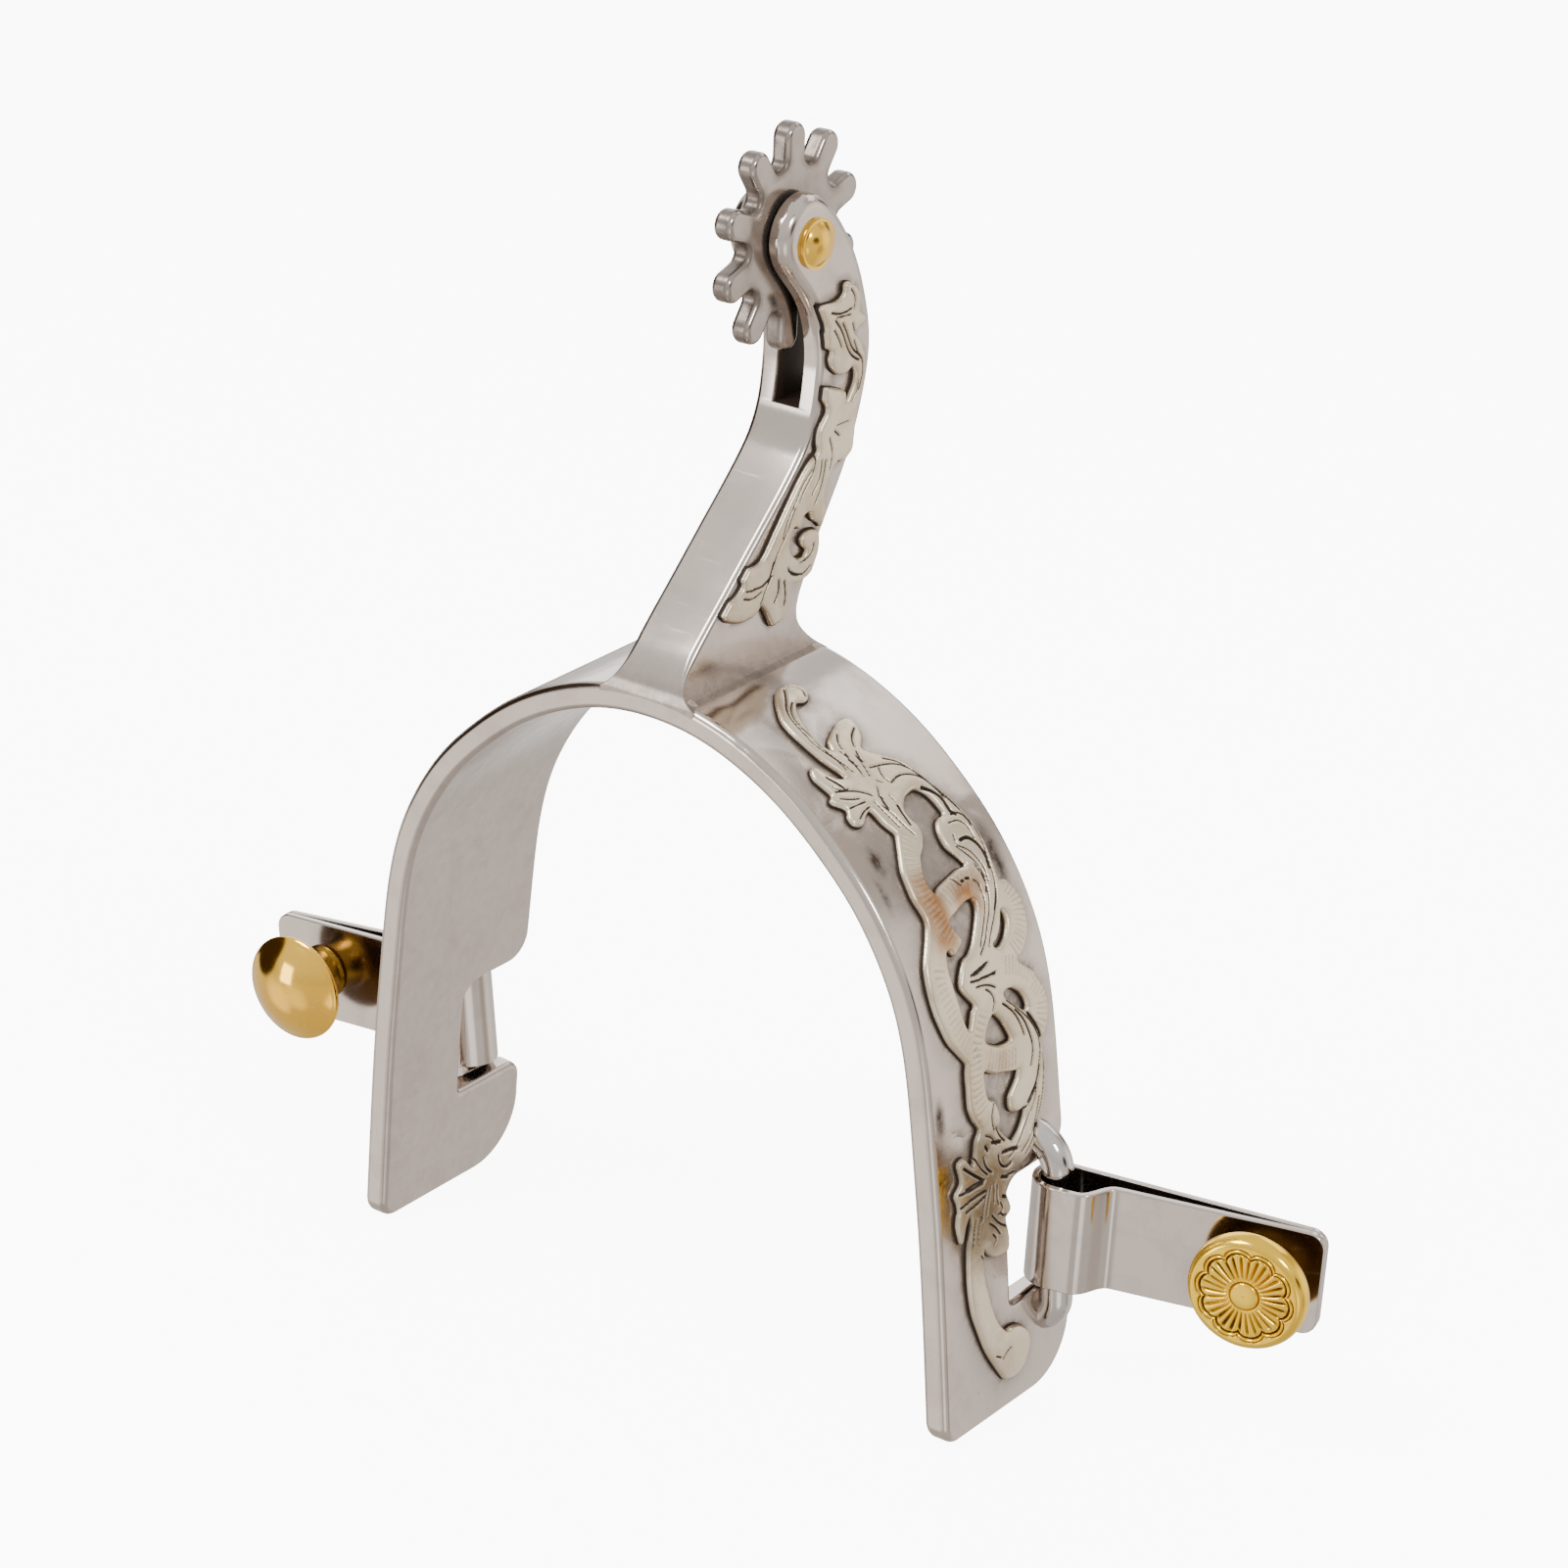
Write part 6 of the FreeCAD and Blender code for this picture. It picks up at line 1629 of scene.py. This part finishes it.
def silver(name):
    m, nt, b, co = start(name)
    top = attribute(nt, "relief")
    cop = attribute(nt, "copper")
    n1 = noise(nt, co, 260, 5, 0.6, 0.5)
    n2 = noise(nt, co, 1400, 4, 0.6)
    big = noise(nt, co, 60, 2, 0.5)
    tar = attribute(nt, "tarnish")
    t = calc(nt, "MULTIPLY_ADD", calc(nt, "SUBTRACT", n1, 0.5), 0.30, top, clamp=True)
    bright = mix(nt, ramp(nt, big, [(0.40, 0.0), (0.62, 1.0)]), (0.810, 0.700, 0.535), (0.710, 0.592, 0.425))
    bright = mix(nt, calc(nt, "MULTIPLY", ramp(nt, n1, [(0.50, 0.0), (0.72, 1.0)]), 0.40), bright, (0.46, 0.345, 0.215))
    bright = mix(nt, calc(nt, "MULTIPLY", tar, ramp(nt, n1, [(0.34, 0.55), (0.56, 1.0)]), clamp=True), bright, (0.190, 0.138, 0.070))
    bright = mix(nt, calc(nt, "MULTIPLY", cop, ramp(nt, n1, [(0.36, 0.62), (0.54, 1.0)]), clamp=True), bright, (0.39, 0.185, 0.070))
    # dark where relief is low: patina in the engraving, and oxide plus painted shade on the overlay's side walls
    col = ramp(nt, t, [(0.0, (0.018, 0.010, 0.006)), (0.30, (0.070, 0.042, 0.025)), (0.62, (0.30, 0.22, 0.14)), (0.86, (1.0, 1.0, 1.0))])
    mask = ramp(nt, t, [(0.48, 0.0), (0.86, 1.0)])
    col = mix(nt, mask, col, bright)
    nt.links.new(col, b.inputs["Base Color"])
    met = ramp(nt, t, [(0.1, 0.35), (0.6, 1.0)])
    nt.links.new(met, b.inputs["Metallic"])
    ro = calc(nt, "MULTIPLY_ADD", t, -0.30, 0.58)
    ro = calc(nt, "MULTIPLY_ADD", n1, 0.12, ro, clamp=True)
    nt.links.new(ro, b.inputs["Roughness"])
    nn = bump(nt, calc(nt, "ADD", n1, calc(nt, "MULTIPLY", n2, 0.5)), 0.22, 0.00009)
    nt.links.new(nn, b.inputs["Normal"])
    return m


def brass(name, base, dark, rough, tarnish, use_relief):
    m, nt, b, co = start(name)
    n1 = noise(nt, co, 230, 4, 0.6, 0.6)
    n2 = noise(nt, co, 1600, 3, 0.6)
    big = noise(nt, co, 90, 2, 0.5)
    col = mix(nt, calc(nt, "MULTIPLY", ramp(nt, n1, [(0.46, 0.0), (0.72, 1.0)]), tarnish), base, dark)
    col = mix(nt, calc(nt, "MULTIPLY", ramp(nt, big, [(0.45, 0.0), (0.7, 1.0)]), 0.3), col, (base[0] * 0.92, base[1] * 0.72, base[2] * 0.55))
    ro = calc(nt, "MULTIPLY_ADD", n1, 0.18, rough)
    if use_relief:
        t = attribute(nt, "relief")
        # dark brown where relief is low: patina in the struck grooves, and painted shade under the button heads
        col = mix(nt, ramp(nt, t, [(0.22, 0.97), (0.84, 0.0)]), col, (0.085, 0.034, 0.006))
        ro = calc(nt, "MULTIPLY_ADD", calc(nt, "SUBTRACT", 1.0, t), 0.22, ro, clamp=True)
    line = scratches(nt, co, 1.0, (120, 2600, 2600), (0.4, 0.25, 0.8), 0.64, 0.72)
    col = mix(nt, calc(nt, "MULTIPLY", line, 0.25), col, (0.95, 0.80, 0.48))
    nt.links.new(col, b.inputs["Base Color"])
    nt.links.new(ro, b.inputs["Roughness"])
    b.inputs["Metallic"].default_value = 1.0
    nn = bump(nt, calc(nt, "ADD", n1, calc(nt, "MULTIPLY", n2, 0.4)), 0.12, 0.00006)
    nt.links.new(nn, b.inputs["Normal"])
    return m


MATS = {
    "band_steel": steel("band_steel", (0.610, 0.528, 0.468), (0.36, 0.29, 0.24), 0.13, grain=(1400, 60, 700), stain=True, rust=0.6, smear=0.7, wavy=0.32, sway=0.6, tooth=0.06),
    "shank_steel": steel("shank_steel", (0.610, 0.528, 0.468), (0.36, 0.29, 0.24), 0.11, grain=(900, 300, 60), stain=True, rust=0.5, smear=0.8, sway=0.35, tooth=0.05),
    "rowel_steel": steel("rowel_steel", (0.420, 0.362, 0.322), (0.24, 0.18, 0.14), 0.10, grain=(300, 200, 200), stain=True, rust=0.4, sway=0.4, tooth=0.02),
    "wire_steel": steel("wire_steel", (0.640, 0.595, 0.560), (0.34, 0.28, 0.24), 0.06, grain=(900, 900, 90), rust=0.3, smear=0.5, sway=0.3, tooth=0.03),
    "strip_steel": steel("strip_steel", (0.610, 0.535, 0.480), (0.36, 0.29, 0.24), 0.10, grain=(70, 900, 900), rust=0.4, smear=0.8, sway=0.4, tooth=0.06),
    "overlay_silver": silver("overlay_silver"),
    "pin_brass": brass("pin_brass", (1.0, 0.63, 0.085), (0.56, 0.28, 0.03), 0.05, 0.25, False),
    "button_brass": None,
}
MATS["button_brass"] = brass("button_brass", (1.0, 0.60, 0.080), (0.66, 0.34, 0.03), 0.04, 0.22, True)
STRUCK = brass("struck_brass", (1.0, 0.645, 0.055), (0.68, 0.37, 0.03), 0.06, 0.22, True)

PAINT = {band: "band_steel", shank: "shank_steel", overlay: "overlay_silver", s_overlay: "overlay_silver",
         rowel: "rowel_steel", pin: "pin_brass"}
for ob in bpy.context.scene.objects:
    if ob.type != "MESH":
        continue
    n = ob.name
    if ob in PAINT:
        key = PAINT[ob]
    elif "staple" in n:
        key = "wire_steel"
    elif "hanger" in n:
        key = "strip_steel"
    elif n in ("outer_flower_button", "inner_dome_button"):
        key = "button_brass"
    elif n in NODE_SLOT:
        key = NODE_SLOT[n]
    else:
        continue
    mat = MATS[key]
    if n == "outer_flower_button":
        mat = STRUCK
    if ob.data.materials:
        for i in range(len(ob.data.materials)):
            ob.data.materials[i] = mat
    else:
        ob.data.materials.append(mat)


# ------------------------------------------------------------------ stage
def staged_material(name, color, rough=0.9):
    m, nt, b, co = start(name)
    n1 = noise(nt, co, 14, 3, 0.5)
    n2 = noise(nt, co, 300, 3, 0.6)
    col = mix(nt, calc(nt, "MULTIPLY", n1, 0.06), color, tuple(c * 0.93 for c in color))
    nt.links.new(col, b.inputs["Base Color"])
    nt.links.new(calc(nt, "MULTIPLY_ADD", n2, 0.06, rough - 0.05), b.inputs["Roughness"])
    b.inputs["Specular IOR Level"].default_value = 0.15
    return m


def sheet(name, pts, mat):
    me = bpy.data.meshes.new(name)
    me.from_pydata(pts, [], [(0, 1, 2, 3)])
    me.materials.append(mat)
    ob = bpy.data.objects.new(name, me)
    bpy.context.scene.collection.objects.link(ob)
    return ob


floor_mat = staged_material("floor_paper", (0.88, 0.878, 0.875))
fb = floor_mat.node_tree.nodes["Principled BSDF"]
fb.inputs["Emission Color"].default_value = (1.0, 0.998, 0.995, 1)
fb.inputs["Emission Strength"].default_value = 9.0
floor = sheet("floor", [(-3, -3, -0.0002), (3, -3, -0.0002), (3, 3, -0.0002), (-3, 3, -0.0002)], floor_mat)
floor.visible_glossy = False
floor.visible_diffuse = False
stage = [floor]

# the room that the polished metal reflects: white tent, with darker gaps in it
world = bpy.data.worlds.new("World")
bpy.context.scene.world = world
world.use_nodes = True
wn = world.node_tree
bg = wn.nodes["Background"]
tc = wn.nodes.new("ShaderNodeTexCoord")
sep = wn.nodes.new("ShaderNodeSeparateXYZ")
wn.links.new(tc.outputs["Generated"], sep.inputs[0])
env = ramp(wn, calc(wn, "MULTIPLY_ADD", sep.outputs[2], 0.5, 0.5), [(0.0, (0.74, 0.70, 0.66)), (0.34, (0.93, 0.90, 0.87)), (0.47, (0.96, 0.94, 0.92)), (0.50, (0.84, 0.83, 0.82)), (0.66, (1.0, 1.0, 1.0)), (1.0, (1.1, 1.1, 1.1))])
# darker gaps and brighter panels: (direction, inner angle, outer angle, tone)
for d, a0, a1, tone in (((0.35, 0.78, -0.50), 6, 34, (1.20, 1.16, 1.12)),
                        ((0.63, 0.76, -0.02), 8, 26, (1.62, 1.55, 1.48)),
                        ((0.38, 0.72, 0.58), 6, 24, (0.70, 0.63, 0.57)),
                        ((-0.62, 0.72, 0.28), 16, 23, (2.5, 2.5, 2.52)),
                        ((-0.38, 0.70, -0.61), 8, 20, (1.30, 1.28, 1.26)),
                        ((0.86, 0.40, -0.40), 2, 16, (0.62, 0.56, 0.50)),
                        ((-0.94, -0.26, 0.20), 25, 29, (0.045, 0.026, 0.010)),
                        ((-0.86, 0.48, -0.10), 12, 16, (0.05, 0.035, 0.025)),
                        ((-0.58, 0.735, -0.36), 5, 8, (0.03, 0.022, 0.016)),
                        ((0.76, -0.18, 0.62), 5, 10, (0.05, 0.04, 0.03)),
                        ((0.15, 0.98, 0.16), 5, 11, (0.20, 0.17, 0.15)),
                        ((0.97, 0.12, 0.10), 6, 13, (0.12, 0.10, 0.08)),
                        ((-0.154, -0.90, -0.407), 9, 19, (1.42, 1.37, 1.32)),
                        ((-0.60, -0.66, -0.46), 10, 22, (1.62, 1.56, 1.50)),
                        ((0.73, -0.55, -0.41), 8, 17, (1.9, 1.9, 1.9))):
    v = Vector(d).normalized()
    dp = wn.nodes.new("ShaderNodeVectorMath")
    dp.operation = "DOT_PRODUCT"
    wn.links.new(mapped(wn, tc.outputs["Generated"], (1, 1, 1)), dp.inputs[0])
    dp.inputs[1].default_value = v
    soft = calc(wn, "MULTIPLY_ADD", noise(wn, tc.outputs["Generated"], 3.0, 1.0, 0.5), 0.05, calc(wn, "SUBTRACT", dp.outputs["Value"], 0.025))
    lo, hi = math.cos(math.radians(a1)), math.cos(math.radians(a0))
    k = calc(wn, "MULTIPLY", calc(wn, "SUBTRACT", soft, lo), 1.0 / (hi - lo), clamp=True)
    env = mix(wn, k, env, tone)
wn.links.new(env, bg.inputs["Color"])
bg.inputs["Strength"].default_value = 1.0


def area(name, loc, target, size, size_y, power, color=(1, 1, 1)):
    l = bpy.data.lights.new(name, "AREA")
    l.shape, l.size, l.size_y, l.energy, l.color = "RECTANGLE", size, size_y, power, color
    ob = bpy.data.objects.new(name, l)
    bpy.context.scene.collection.objects.link(ob)
    d = Vector(target) - Vector(loc)
    ob.location = loc
    ob.rotation_euler = d.to_track_quat("-Z", "Y").to_euler()
    stage.append(ob)
    return ob


area("key", (-0.30, -0.45, 0.90), (0, 0, 0.05), 0.40, 0.34, 6.5)
area("edge", (0.80, -0.20, 0.62), (0, 0, 0.08), 0.22, 0.22, 3.2)
area("fill", (-0.45, -0.85, 0.10), (0, 0, 0.06), 0.30, 0.4, 1.6)
area("back", (0.10, 0.80, 0.65), (0, 0, 0.06), 0.6, 0.3, 0.8)

# camera
cam = bpy.data.cameras.new("Camera")
cam_ob = bpy.data.objects.new("Camera", cam)
bpy.context.scene.collection.objects.link(cam_ob)
bpy.context.scene.camera = cam_ob
CX, CY, CZ_ = (Vector(v) for v in ((0.7956589926067758, 0.6055506634796065, 0.015334974515114582),
                                   (-0.25788840598102686, 0.3157264655224638, 0.9131321750049428),
                                   (0.5481061371162851, -0.7304965386147294, 0.4073750968424104)))
P = Vector((321.1594346782966, -414.75791383042247, 300.21407890335763)) * MM
cam_ob.matrix_world = Matrix(((CX[0], CY[0], CZ_[0], P[0]), (CX[1], CY[1], CZ_[1], P[1]), (CX[2], CY[2], CZ_[2], P[2]), (0, 0, 0, 1)))
cam.sensor_width = 36.0
cam.lens = 5109.486182308035 * 36.0 / 1601.0
cam.clip_start, cam.clip_end = 0.05, 20
stage += [cam_ob]
